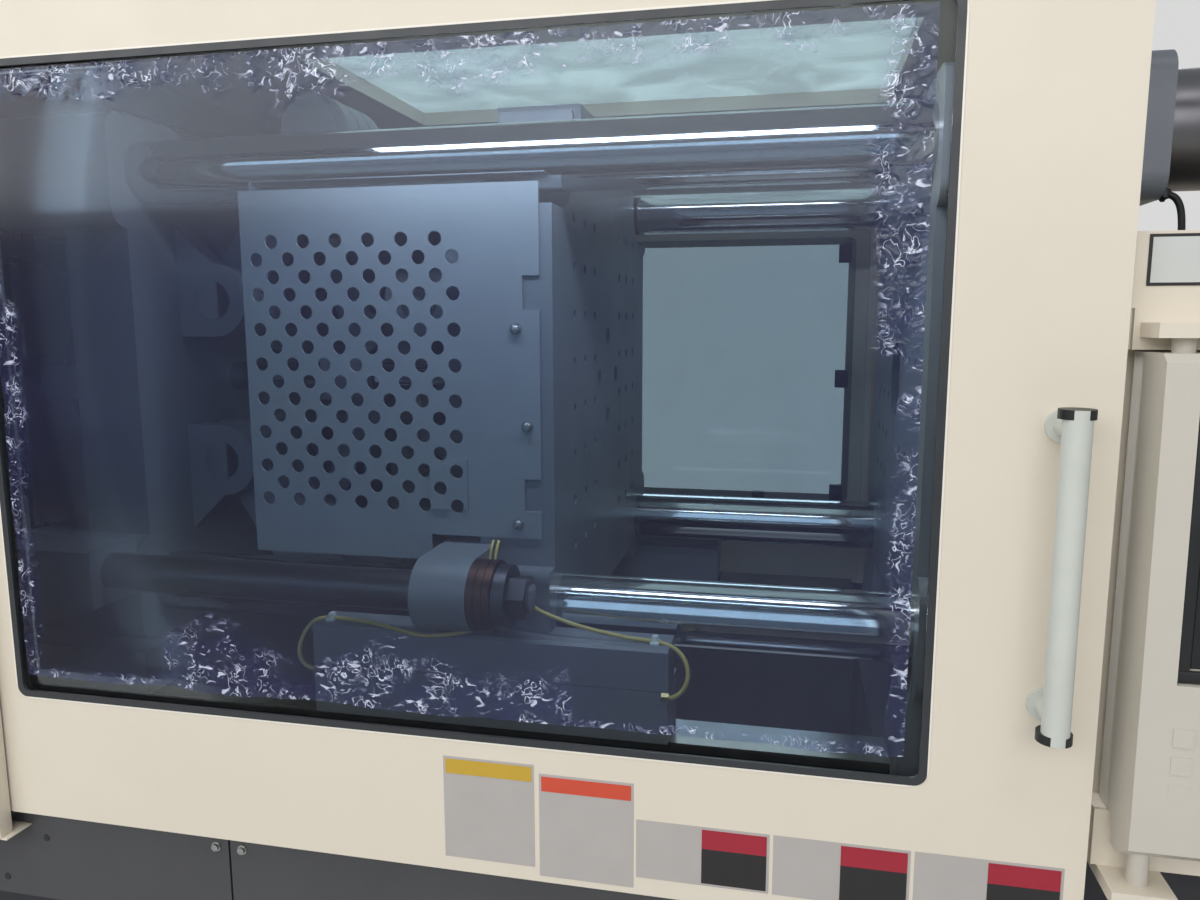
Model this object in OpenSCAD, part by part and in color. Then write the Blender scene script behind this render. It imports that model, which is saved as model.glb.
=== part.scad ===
/* [Machine] */
// Overall length along the clamp axis
machine_len = 5200; // [5000:50:5400]
// How far a door's face stands out past the base's side
door_out = 30; // [20:5:60]
// Distance a door handle stands out from the door
handle_reach = 60; // [45:1:80]
// Height of the clamp axis over the floor
axis_z = 1180; // [1150:5:1220]
// Height of the base's top face over the floor
base_top = 640; // [620:5:650]
// Thickness of the folded cover sheets
sheet = 3; // [2:0.5:4]

/* [Platens] */
// Width and height of the platens across their corners
platen_size = 800; // [780:5:820]
// Depth of the platens' sides between the corner lugs
platen_waist = 30; // [15:1:40]
// Height of a corner lug
lug_h = 166; // [150:2:180]
// Thickness of the fixed platen at its corner lugs
fixed_t = 245; // [220:5:260]
// Thickness of the platens' face plates
face_t = 110; // [90:5:130]
// Thickness of the moving platen at its corner lugs
moving_t = 150; // [130:5:170]
// Thickness of the tailstock
tail_t = 210; // [190:5:240]
// Place of the fixed platen's mould face along the machine
mould_x = -240; // [-260:5:-220]
// Gap between the platens when the clamp is open
daylight = 487; // [470:1:500]
// Pitch of the tapped holes in the mould faces
tap_pitch = 70; // [60:5:80]
// Diameter of the tapped holes
tap_d = 16; // [12:1:20]
// Diameter of the locating hole in the fixed platen
locate_d = 125; // [100:5:160]

/* [Tie bars] */
// Spacing of the tie bars, centre to centre
tie_pitch = 640; // [620:5:650]
// Diameter of a tie bar
tie_d = 95; // [85:1:100]
// Diameter of the tie-bar nuts
nut_d = 140; // [130:2:150]
// Thickness of the tie-bar nuts
nut_t = 70; // [50:5:90]
// Length that the mould-height adjustment can move the tailstock
height_travel = 250; // [200:10:280]

/* [Toggle] */
// Length of the main toggle links from pin to pin
link_len = 310; // [305:1:320]
// Closing stroke of the moving platen
clamp_stroke = 285; // [270:1:290]
// Distance of the toggle pins above and below the clamp axis
pin_rise = 130; // [125:1:140]
// Diameter of the toggle pins
pin_d = 60; // [50:1:64]
// Outer diameter of a link's eyes
eye_d = 116; // [110:1:120]
// Thickness of one link plate
link_t = 38; // [32:1:40]
// Distance from the clamp axis to the first link plate
lane_y = 100; // [98:1:104]
// Distance from a rear link's root pin to its crosshead-link pin
ear_at = 150; // [140:1:155]
// Length of a crosshead link from pin to pin
short_len = 200; // [196:1:210]
// Height of the crosshead's pins above and below the clamp axis
cross_rise = 75; // [72:1:80]

/* [Side guard] */
// Length of the perforated guard
guard_len = 448; // [440:1:460]
// Height of the perforated guard
guard_h = 528; // [520:1:540]
// Diameter of the guard's holes
perf_d = 20; // [12:1:24]
// Pitch of the guard's holes along one row
perf_pitch = 50; // [40:1:60]
// Diameter of the stopper rod
rod_d = 55; // [45:1:60]

/* [Doors] */
// Width of the front door
door_w = 1355; // [1300:5:1400]
// Height of the front door
door_h = 1071; // [1040:1:1090]
// Height of the doors' lower edges over the floor
door_z = 619; // [610:1:640]
// Place of the front door's closing edge along the machine
door_x = -95; // [-120:1:-70]
// Distance from the window's left edge to the door's left edge
window_left = 56; // [50:1:120]
// Height of the front door's window
window_h = 797; // [700:1:820]
// Height of the window's lower edge over the floor
window_z = 787; // [770:1:800]
// Corner radius of the windows
window_r = 14; // [6:1:30]
// Distance from the door's closing edge to the window
window_in = 160; // [150:1:175]
// Thickness of the window panes
pane_t = 8; // [5:1:12]
// Thickness of the film on the front window
film_t = 1; // [0.5:0.1:1.5]
// Travel of the sliding doors
door_travel = 900; // [800:10:950]
// Length of a door handle between its feet
handle_len = 300; // [250:5:350]
// Diameter of the handle tube
handle_d = 26; // [20:1:32]

/* [Injection unit] */
// Outer diameter of the barrel
barrel_d = 120; // [110:2:140]
// Length of the barrel
barrel_len = 1040; // [1000:10:1060]
// Diameter of the screw
screw_d = 50; // [40:1:55]
// Travel of the screw
screw_travel = 200; // [160:5:220]
// Travel of the injection carriage
carriage_travel = 300; // [250:10:320]
// Diameter of the injection ball screws
ball_d = 50; // [40:1:56]
// Spacing of the injection ball screws across the machine
ball_gap = 400; // [380:5:420]
// Width across the hopper's mouth
hopper_w = 380; // [320:5:420]
// Height of the hopper's straight wall
hopper_h = 220; // [150:5:260]

/* [Base and controls] */
// Distance from the middle plane to the base's side faces
base_half = 590; // [570:1:640]
// Height of the levelling pads' feet
pad_h = 60; // [50:1:80]
// Height of the upper edge of the base's lower recess
apron_z = 481; // [460:1:500]
// Height of the control cabinet's top over the floor
cabinet_top = 860; // [840:5:880]
// Width of the operator panel
panel_w = 410; // [380:5:430]
// Height of the operator panel
panel_h = 503; // [480:1:510]
// Depth of the operator panel
panel_d = 90; // [80:1:100]

/* [Hidden] */
$fn = 48;

// Gap between flat faces that slide on each other
run_gap = 0.3;
// Radial clearance of a pin or shaft in its bore
pin_gap = 0.05;
// Overrun of a cut past the faces that it goes through
cut = 1;

cream = "#E8DECD";
dark_grey = "#505052";
machine_grey = "#7A7F87";
steel = "#A9ADB2";
chrome = "#D5D9DD";
black = "#1E1E20";
pale_grey = "#B9BEC0";

half_len = machine_len / 2;
fixed_back = mould_x + fixed_t;
moving_x = mould_x - daylight;
moving_back = moving_x - moving_t;
waist_y = platen_size / 2 - platen_waist;
lug_at = (platen_size - lug_h) / 2;
tie_at = tie_pitch / 2;
lug_r = 28;

// Distance from the moving mould face back to the front toggle pins
pin_back = 258;
// Distance from the tailstock's face to the rear toggle pins
pin_stand = 62;
front_pin_x = moving_x - pin_back;
fold = acos(1 - clamp_stroke / (2 * link_len));
rear_pin_x = front_pin_x - 2 * link_len * cos(fold);
elbow_x = rear_pin_x + link_len * cos(fold);
elbow_rise = pin_rise + link_len * sin(fold);
ear_x = rear_pin_x + ear_at * cos(fold);
ear_rise = pin_rise + ear_at * sin(fold);
cross_x = ear_x + sqrt(pow(short_len, 2) - pow(ear_rise - cross_rise, 2));
cross_end = rear_pin_x + ear_at + sqrt(pow(short_len, 2) - pow(pin_rise - cross_rise, 2));
cross_travel = cross_end - cross_x;
tail_x = rear_pin_x - pin_stand;
tail_back = tail_x - tail_t;

// Lanes of the link plates, counted out from the middle plane
lane_gap = 4;
lane_step = link_t + lane_gap;
lane_a = lane_y;
lane_b = lane_y + lane_step;
lane_c = lane_y + 2 * lane_step;
lane_d = lane_y + 3 * lane_step;
short_t = 32;
short_y = lane_y - short_t - 8;
cross_half = short_y - run_gap;
ear_d = 70;
ear_pin_d = 34;

// Heights of the shoes' running faces, seam and tops
rail_top = 713.7;
shoe_seam = 786;
shoe_top = 845;
shoe_out = 435;
shoe_in = 345;
rail_w = shoe_out - shoe_in;
shoe_x0 = moving_x - 344;
shoe_x1 = moving_x + 171;

// Sweep of a round tube along a list of points
function unit(v) = v / norm(v);
function tangent(p, i) = unit(p[min(i + 1, len(p) - 1)] - p[max(i - 1, 0)]);
function side_of(t) = abs(t.z) > 0.9 ? unit(cross(t, [0, 1, 0])) : unit(cross(t, [0, 0, 1]));
function ring(p, i, r, n) =
  let (t = tangent(p, i), u = side_of(t), v = cross(t, u))
  [for (k = [0 : n - 1]) p[i] + r * (cos(360 * k / n) * u + sin(360 * k / n) * v)];

// Round tube of diameter d with n sides
module tube(p, d, n = 8) {
  m = len(p);
  points = [for (i = [0 : m - 1]) each ring(p, i, d / 2, n)];
  walls = [
    for (i = [0 : m - 2], k = [0 : n - 1])
      [i * n + k, (i + 1) * n + k, (i + 1) * n + (k + 1) % n, i * n + (k + 1) % n]
  ];
  ends = [[for (k = [0 : n - 1]) k], [for (k = [n - 1 : -1 : 0]) (m - 1) * n + k]];
  polyhedron(points, concat(walls, ends), convexity = 6);
}

// Box from its lowest to its highest corner
module box(x0, x1, y0, y1, z0, z1) {
  translate([x0, y0, z0])
    cube([x1 - x0, y1 - y0, z1 - z0]);
}

// The children and their mirror image on the other side of the machine
module both_sides() {
  children();
  mirror([0, 1, 0])
    children();
}

// Round bars along the three axes
module bar_x(x0, x1, y, z, d) {
  translate([x0, y, z])
    rotate([0, 90, 0])
      cylinder(d = d, h = x1 - x0);
}

// Bore through from x0 to x1 for a pin or shaft of diameter d
module bore_x(x0, x1, y, z, d) {
  bar_x(x0 - cut, x1 + cut, y, z, d + 2 * pin_gap);
}

module bar_y(y0, y1, x, z, d) {
  translate([x, y0, z])
    rotate([-90, 0, 0])
      cylinder(d = d, h = y1 - y0);
}

module bar_z(z0, z1, x, y, d) {
  translate([x, y, z0])
    cylinder(d = d, h = z1 - z0);
}

// Profiles drawn in Y and Z, in X and Z, or in X and Y, and given a thickness
module along_x(x0, x1) {
  translate([x0, 0, 0])
    rotate([90, 0, 90])
      linear_extrude(x1 - x0)
        children();
}

module along_y(y0, y1) {
  translate([0, y1, 0])
    rotate([90, 0, 0])
      linear_extrude(y1 - y0)
        children();
}

// Rectangle with round corners, from its lowest to its highest corner
module field(x0, x1, y0, y1, r) {
  translate([x0 + r, y0])
    square([x1 - x0 - 2 * r, y1 - y0]);
  translate([x0, y0 + r])
    square([x1 - x0, y1 - y0 - 2 * r]);
  for (x = [x0 + r, x1 - r], y = [y0 + r, y1 - r])
    translate([x, y])
      circle(r = r);
}

// Outline of a belt or chain round two wheels, the second one above the first
module loop_outline(r1, r2, gap) {
  a = acos((r1 - r2) / gap);
  circle(r = r1);
  translate([0, gap])
    circle(r = r2);
  polygon([
    [r1 * sin(a), r1 * cos(a)], [r2 * sin(a), gap + r2 * cos(a)],
    [-r2 * sin(a), gap + r2 * cos(a)], [-r1 * sin(a), r1 * cos(a)]
  ]);
}

// Places of the four tie bars, in Y and Z
tie_places = [for (y = [-tie_at, tie_at], z = [axis_z - tie_at, axis_z + tie_at]) [y, z]];

// Wheel with a rim, a thin web and a hub, its middle at the origin and its axis along X
module wheel(r, width, hub_r, bore_r) {
  rim = 14;
  web = 8;
  rotate([0, 90, 0])
    rotate_extrude($fn = 72)
      polygon([
        [bore_r, -width / 2], [hub_r, -width / 2], [hub_r, -web / 2], [r - rim, -web / 2],
        [r - rim, -width / 2], [r, -width / 2], [r, width / 2], [r - rim, width / 2],
        [r - rim, web / 2], [hub_r, web / 2], [hub_r, width / 2], [bore_r, width / 2]
      ]);
}

// Servo motor pointing along +X: square flange, round body, fins and plug
module motor(size, length) {
  flange = 14;
  rotate([90, 0, 90])
    linear_extrude(flange)
      difference() {
        field(-size / 2, size / 2, -size / 2, size / 2, size * 0.08);
        for (y = [-1, 1], z = [-1, 1])
          translate([y * size * 0.42, z * size * 0.42])
            circle(r = size * 0.03);
      }
  translate([flange, 0, 0])
    rotate([90, 0, 90])
      linear_extrude(length - flange - size * 0.3)
        field(-size * 0.44, size * 0.44, -size * 0.44, size * 0.44, size * 0.16);
  for (x = [flange + 20 : 24 : length - size * 0.3 - 20])
    translate([x, 0, 0])
      rotate([90, 0, 90])
        linear_extrude(8)
          field(-size * 0.47, size * 0.47, -size * 0.47, size * 0.47, size * 0.16);
  bar_x(length - size * 0.3 - cut, length, 0, 0, size * 0.8);
  box(length - size * 0.55, length - size * 0.3, -size * 0.14, size * 0.14, size * 0.4, size * 0.62);
}

// Outline of a platen, in Y and Z round the clamp axis
module platen_outline() {
  core = 2 * waist_y;
  translate([0, axis_z])
    square(core, center = true);
  for (y = [-1, 1], z = [-1, 1])
    lug_outline(y * lug_at, axis_z + z * lug_at);
}

module lug_outline(y, z) {
  field(y - lug_h / 2, y + lug_h / 2, z - lug_h / 2, z + lug_h / 2, lug_r);
}

// Casting from x0 to x1: plate of the platen's outline at face_x, corner lugs, a boss and eight ribs
module casting(face_x, x0, x1, boss_d, rib_x) {
  rib = 50;
  along_x(face_x, face_x + face_t)
    platen_outline();
  along_x(x0, x1)
    for (y = [-1, 1], z = [-1, 1])
      lug_outline(y * lug_at, axis_z + z * lug_at);
  bar_x(x0, x1, 0, axis_z, boss_d);
  for (a = [0 : 45 : 315])
    translate([0, 0, axis_z])
      rotate([a, 0, 0])
        box(rib_x[0], rib_x[1], -rib / 2, rib / 2, boss_d / 2 - 20, waist_y - 15);
}

// Tapped holes of a mould face; the holes run from the face along dir
module tapped_holes(face, dir) {
  depth = 40;
  x0 = dir > 0 ? face - cut : face - depth;
  x1 = dir > 0 ? face + depth : face + cut;
  for (y = [1.5 : 3.5], z = [0.5 : 3.5], sy = [-1, 1], sz = [-1, 1])
    bar_x(x0, x1, sy * y * tap_pitch, axis_z + sz * z * tap_pitch, tap_d);
}

module tie_bores(x0, x1) {
  for (p = tie_places)
    bore_x(x0, x1, p.x, p.y, tie_d);
}

// Cast platen that carries the fixed mould half and takes the nozzle
module fixed_platen() {
  cone_small = 150;
  cone_big = 330;
  cone_at = 60;
  foot_y0 = 210;
  color(machine_grey)
    difference() {
      union() {
        casting(mould_x, mould_x, fixed_back, 430, [mould_x, fixed_back - 20]);
        both_sides()
          along_y(foot_y0, waist_y)
            polygon([
              [mould_x, axis_z - waist_y + cut], [fixed_back - 40, axis_z - waist_y + cut],
              [fixed_back + 40, base_top], [mould_x - 20, base_top]
            ]);
      }
      tie_bores(mould_x, fixed_back);
      bar_x(mould_x - cut, fixed_back, 0, axis_z, locate_d);
      translate([mould_x + cone_at, 0, axis_z])
        rotate([0, 90, 0])
          cylinder(d1 = cone_small, d2 = cone_big, h = fixed_t - cone_at + cut);
      tapped_holes(mould_x, 1);
    }
}

// One clevis plate of a platen in X and Z, between the pin and the wall at x_wall
module clevis_outline(pin_x, x_wall, sign) {
  r = eye_d / 2;
  reach = x_wall - pin_x;
  translate([pin_x, axis_z + sign * pin_rise])
    difference() {
      union() {
        circle(r = r);
        polygon([[0, r], [reach, r + 60], [reach, -r], [0, -r]]);
        polygon([[0, -r], [0, r], [reach, r], [reach, -r]]);
      }
      circle(d = pin_d);
    }
}

// The same plate for both pins, kept to the side away from the clamp axis
module clevis_pair(pin_x, x_wall) {
  for (s = [-1, 1])
    if (s > 0)
      clevis_outline(pin_x, x_wall, 1);
    else
      translate([0, 2 * axis_z])
        mirror([0, 1])
          clevis_outline(pin_x, x_wall, 1);
}

// Cast platen that carries the moving mould half; its clevises hold the front links
crown_y = 200;
crown_h = 47;
saddle_r = tie_d / 2 + 20;
module moving_platen() {
  wall = moving_x - face_t;
  rib_y = lane_d + 20;
  boss_x0 = moving_x - 166;
  boss_x1 = moving_x - 88;
  color(machine_grey)
    difference() {
      union() {
        difference() {
          union() {
            along_x(wall, moving_x)
              platen_outline();
            along_x(moving_back, moving_x)
              for (y = [-1, 1])
                lug_outline(y * lug_at, axis_z - lug_at);
            box(moving_back + 20, moving_x, -crown_y, crown_y, axis_z + waist_y - cut, axis_z + waist_y + crown_h);
          }
          both_sides()
            open_saddle();
          box(moving_back - cut, moving_x + cut, -platen_size, -waist_y, guard_top - guard_h - 2, guard_top + 2);
        }
        both_sides() {
          along_y(lane_a, lane_a + link_t)
            clevis_pair(front_pin_x, wall + cut);
          along_y(lane_c, lane_c + link_t)
            clevis_pair(front_pin_x, wall + cut);
          along_y(rib_y, rib_y + 26)
            polygon([
              [wall + cut, axis_z - 330], [wall + cut, axis_z + 240],
              [front_pin_x + 60, axis_z + 200], [front_pin_x + 60, axis_z - 200]
            ]);
          for (s = [-1, 1])
            box(front_pin_x + 62, wall + cut, lane_c + link_t - cut, rib_y + cut,
                axis_z + s * (pin_rise + 30) - 14, axis_z + s * (pin_rise + 30) + 14);
        }
        stopper_boss(boss_x0, boss_x1);
      }
      tie_bores(boss_x0, moving_x);
      tapped_holes(moving_x, -1);
      ejector_holes();
      bore_x(boss_x0, boss_x1, stop_y, stop_z, rod_d);
      both_sides()
        box(moving_back - cut, moving_x + cut, 0, platen_size, 0, shoe_seam);
    }
}

// Cut-back upper corner, where the tie bar passes the moving platen in the open
module open_saddle() {
  low = tie_at - saddle_r;
  along_x(moving_back - cut, moving_x + cut)
    field(low, platen_size, axis_z + low, axis_z + platen_size, saddle_r - cut);
}

// Boss on the operator's side that holds the stopper rod
stop_y = -450;
stop_z = 910;
module stopper_boss(x0, x1) {
  boss_d = 99;
  bar_x(x0, x1, stop_y, stop_z, boss_d);
  along_x(x0, x1)
    polygon([
      [stop_y, stop_z - 40], [-lug_at, stop_z - 40], [-lug_at, stop_z + 50], [-waist_y, stop_z + 50],
      [stop_y, stop_z + boss_d / 2]
    ]);
}

// Ejector rods pass the moving platen in these holes
rod_places = [[-70, 0], [70, 0], [0, -70], [0, 70]];
ejector_d = 30;
module ejector_holes() {
  for (p = rod_places)
    bore_x(moving_back, moving_x, p.x, axis_z + p.y, ejector_d);
}

// Cast tailstock at the clamp's left end; its clevises hold the rear links
module tailstock() {
  screw_bore = 90;
  wall = tail_x + cut;
  color(machine_grey)
    difference() {
      union() {
        casting(tail_x - face_t, tail_back, tail_x, 300, [tail_back + 20, tail_x - cut]);
        both_sides() {
          for (y = [lane_b, lane_d])
            along_y(y, y + link_t)
              translate([2 * rear_pin_x, 0])
                mirror([1, 0])
                  clevis_pair(rear_pin_x, 2 * rear_pin_x - tail_x + cut);
          box(tail_back, tail_x + 30, shoe_in, shoe_out, rail_top + run_gap, axis_z - lug_at - lug_h / 2);
        }
      }
      tie_bores(tail_back, tail_x);
      bar_x(tail_back - cut, tail_x + cut, 0, axis_z, screw_bore);
      for (y = [-118, 118])
        bar_x(tail_x - 60, tail_x + cut, y, axis_z, guide_d);
      bar_x(tail_back - cut, wall, stop_y, stop_z, rod_d + 2 * pin_gap);
    }
  color(machine_grey) {
    difference() {
      box(tail_back + 20, tail_x, stop_y - 46, -platen_size / 2, stop_z - 46, stop_z + 38);
      bore_x(tail_back, tail_x, stop_y, stop_z, rod_d);
    }
    for (y = [stop_y - pawl_t / 2 - 8, stop_y + pawl_t / 2 + run_gap])
      along_y(y, y + 8 - run_gap)
        field(pawl_x - 20, pawl_x + 20, stop_z + 30, pawl_z + 20, 8);
  }
  color(steel)
    bar_y(stop_y - pawl_t / 2 - 11, stop_y + pawl_t / 2 + 11, pawl_x, pawl_z, pawl_pin_d);
}

// Ground and chromed bars that the moving platen slides on
tie_left = tail_back - height_travel - nut_t - 60;
tie_right = fixed_back + nut_t + 24;
module tie_bars() {
  neck = 6;
  color(chrome)
    for (p = tie_places)
      translate([tie_left, p.x, p.y])
        rotate([0, 90, 0])
          rotate_extrude($fn = 72)
            polygon([
              [0, 0], [tie_d / 2 - neck, 0], [tie_d / 2, neck], [tie_d / 2, tie_right - tie_left - neck],
              [tie_d / 2 - neck, tie_right - tie_left], [0, tie_right - tie_left]
            ]);
}

// Round nuts with spanner holes behind the fixed platen
module tie_bar_nuts() {
  color(black)
    for (p = tie_places)
      translate([fixed_back, p.x, p.y])
        rotate([0, 90, 0])
          difference() {
            rotate_extrude($fn = 72)
              polygon([
                [tie_d / 2 + pin_gap, 0], [nut_d / 2, 0], [nut_d / 2, nut_t - 5],
                [nut_d / 2 - 5, nut_t], [tie_d / 2 + pin_gap, nut_t]
              ]);
            for (a = [0 : 60 : 300])
              rotate([0, 0, a])
                translate([nut_d / 2 - 11, 0, nut_t - 16])
                  cylinder(d = 10, h = 17, $fn = 24);
          }
}

// Toothed nuts on the left ends of the tie bars and the roller chain round them
sprocket_r = 82;
module height_sprockets() {
  teeth = 22;
  tooth = 9;
  x0 = tail_back - nut_t;
  color(steel)
    for (p = tie_places) {
      difference() {
        union() {
          bar_x(x0, tail_back, p.x, p.y, nut_d);
          along_x(tail_back - 42, tail_back - 24)
            translate(p) {
              circle(r = sprocket_r - tooth);
              for (k = [0 : teeth - 1])
                rotate(360 * k / teeth)
                  polygon([[sprocket_r - tooth - 3, -7], [sprocket_r, -3], [sprocket_r, 3], [sprocket_r - tooth - 3, 7]]);
            }
        }
        bore_x(x0, tail_back, p.x, p.y, tie_d);
      }
    }
  color(black)
    along_x(tail_back - 40, tail_back - 26)
      difference() {
        chain_outline(sprocket_r + 13);
        chain_outline(sprocket_r + run_gap);
      }
}

module chain_outline(r) {
  field(-tie_at - r, tie_at + r, axis_z - tie_at - r, axis_z + tie_at + r, r);
}

// Places a link drawn along +X from its root pin, in the X and Z plane above the clamp axis
module placed(x, rise, angle) {
  translate([x, axis_z + rise])
    rotate(angle)
      children();
}

// Mirror image below the clamp axis
module below() {
  translate([0, 0, 2 * axis_z])
    mirror([0, 0, 1])
      children();
}

// Link plate with an eye at each end; the root eye has a running bore
module link_outline(length, r, waist, bore) {
  difference() {
    union() {
      circle(r = r);
      translate([length, 0])
        circle(r = r);
      translate([0, -waist / 2])
        square([length, waist]);
    }
    circle(d = bore + 2 * pin_gap);
  }
}

// Two pairs of rear link plates with their elbow pin heads and crosshead-link pins
module upper_rear_links() {
  head = 1.5;
  waist = 84;
  head_d = pin_d + 16;
  color(steel)
    both_sides() {
      for (y = [lane_a, lane_c]) {
        along_y(y, y + link_t)
          placed(rear_pin_x, pin_rise, fold)
            link_outline(link_len, eye_d / 2, waist, pin_d);
        bar_y(y - head, y + link_t + head, elbow_x, axis_z + elbow_rise, head_d);
      }
      bar_y(short_y, lane_a + cut, ear_x, axis_z + ear_rise, ear_pin_d);
    }
}

module lower_rear_links() {
  below()
    upper_rear_links();
}

// Front link plates, which run between the rear link plates
module upper_front_links() {
  waist = 84;
  head = 1.5;
  color(steel)
    both_sides() {
      along_y(lane_b, lane_b + link_t)
        placed(front_pin_x, pin_rise, 180 - fold)
          link_outline(link_len, eye_d / 2, waist, pin_d);
      bar_y(lane_b - head, lane_b + link_t + head, elbow_x, axis_z + elbow_rise, pin_d);
    }
}

module lower_front_links() {
  below()
    upper_front_links();
}

// Links between the crosshead and the rear links
module upper_short_links() {
  waist = 44;
  angle = atan2(cross_rise - ear_rise, cross_x - ear_x);
  color(steel)
    both_sides()
      along_y(short_y, short_y + short_t)
        placed(ear_x, ear_rise, angle)
          link_outline(short_len, ear_d / 2, waist, ear_pin_d);
}

module lower_short_links() {
  below()
    upper_short_links();
}

// Crosshead with its screw, carried on the guide rods
guide_d = 50;
guide_y = 118;
screw_od = 63;
pulley_t = 60;
pulley_x = tail_back - 64 - pulley_t / 2;
module crosshead() {
  block = 88;
  arm_h = 74;
  screw_tail = pulley_x - pulley_t / 2 - cross_travel - 30;
  color(machine_grey)
    difference() {
      union() {
        along_y(-cross_half, cross_half) {
          translate([cross_x - block / 2, axis_z - cross_rise])
            square([block, 2 * cross_rise]);
          for (s = [-1, 1])
            translate([cross_x, axis_z + s * cross_rise])
              circle(d = ear_d);
        }
        box(cross_x - block / 2, cross_x + block / 2, -guide_y - arm_h / 2, guide_y + arm_h / 2,
            axis_z - arm_h / 2, axis_z + arm_h / 2);
      }
      for (y = [-guide_y, guide_y])
        bar_x(cross_x - block, cross_x + block, y, axis_z, guide_d + 2 * pin_gap);
      both_sides()
        box(cross_x - block, cross_x + block, short_y - run_gap, short_y + short_t + run_gap,
            axis_z + 38, axis_z + arm_h);
      both_sides()
        box(cross_x - block, cross_x + block, short_y - run_gap, short_y + short_t + run_gap,
            axis_z - arm_h, axis_z - 38);
    }
  color(chrome)
    bar_x(screw_tail, cross_x + block / 2 + 14, 0, axis_z, screw_od);
}

// Pins of the rear links, held in the tailstock's clevises
module rear_pins() {
  color(chrome)
    both_sides()
      for (s = [-1, 1])
        bar_y(lane_a - 2, lane_d + link_t + 3, rear_pin_x, axis_z + s * pin_rise, pin_d);
}

// Pins of the front links, held in the moving platen's clevises
module front_pins() {
  color(chrome)
    both_sides()
      for (s = [-1, 1])
        bar_y(lane_a - 2, lane_c + link_t + 3, front_pin_x, axis_z + s * pin_rise, pin_d);
}

// Two rods that guide the crosshead, fixed in the tailstock
module guide_rods() {
  front = cross_end + 60;
  color(chrome)
    for (y = [-guide_y, guide_y])
      bar_x(tail_x - 60, front, y, axis_z, guide_d);
}

// Pulley with the rotating ball nut of the crosshead screw
drive_r = 150;
motor_rise = 300;
drive_pinion_r = 60;
module drive_pulley() {
  hub_r = 62;
  color(steel) {
    translate([pulley_x, 0, axis_z])
      wheel(drive_r, pulley_t, hub_r, screw_od / 2 + pin_gap);
    difference() {
      bar_x(pulley_x + pulley_t / 2, tail_back - run_gap, 0, axis_z, 2 * hub_r);
      bar_x(pulley_x, tail_back, 0, axis_z, screw_od + 2 * pin_gap);
    }
  }
}

// Servo motor of the clamp on its bracket behind the tailstock, with the small pulley
module clamp_motor() {
  size = 180;
  plate = 16;
  plate_x = pulley_x - pulley_t / 2 - 12 - plate;
  z = axis_z + motor_rise;
  color(dark_grey) {
    difference() {
      box(plate_x, plate_x + plate, -150, 150, z - 110, z + 85);
      bar_x(plate_x - cut, plate_x + plate + cut, 0, z, 80);
    }
    both_sides()
      box(plate_x + plate, tail_back + tail_t - face_t, 130, 150, z - 60, z + 60);
  }
  color(black)
    translate([plate_x, 0, z])
      mirror([1, 0, 0])
        motor(size, 300);
  color(steel) {
    bar_x(pulley_x - pulley_t / 2, pulley_x + pulley_t / 2, 0, z, 2 * drive_pinion_r);
    bar_x(plate_x, pulley_x, 0, z, 40);
  }
}

// Toothed belt of the clamp drive
module clamp_belt() {
  belt_t = 5;
  color(black)
    along_x(pulley_x - pulley_t / 2 + 6, pulley_x + pulley_t / 2 - 6)
      translate([0, axis_z])
        difference() {
          loop_outline(drive_r + belt_t, drive_pinion_r + belt_t, motor_rise);
          loop_outline(drive_r + run_gap, drive_pinion_r + run_gap, motor_rise);
        }
}

// Ejector plate with its four rods, at rest behind the mould face
eject_x = moving_x - 262;
eject_t = 30;
eject_travel = 100;
eject_screw_d = 32;
module ejector_plate() {
  color(steel)
    difference() {
      union() {
        box(eject_x, eject_x + eject_t, -92, 92, axis_z - 92, axis_z + 92);
        for (p = rod_places)
          bar_x(eject_x + eject_t - cut, moving_x - 8, p.x, axis_z + p.y, ejector_d);
      }
      bore_x(eject_x, eject_x + eject_t, 0, axis_z, eject_screw_d);
    }
}

// Ejector yoke with its screw, bolted to the moving platen's back
module ejector_drive() {
  wall = moving_x - face_t;
  yoke_x = eject_x - 50;
  yoke_t = 25;
  z = axis_z + 300;
  motor_size = 90;
  color(dark_grey) {
    difference() {
      box(yoke_x, yoke_x + yoke_t, -60, 60, axis_z - 120, axis_z + 350);
      bore_x(yoke_x, yoke_x + yoke_t, 0, axis_z, eject_screw_d);
    }
    box(yoke_x + yoke_t, wall, -60, 60, axis_z - 120, axis_z - 96);
    box(yoke_x + yoke_t, wall, -60, 60, axis_z + 96, axis_z + 120);
  }
  color(black)
    translate([yoke_x + yoke_t, 0, z])
      motor(motor_size, wall - yoke_x - yoke_t - 6);
  color(steel)
    bar_x(yoke_x - 10, wall, 0, axis_z, eject_screw_d);
}

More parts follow.
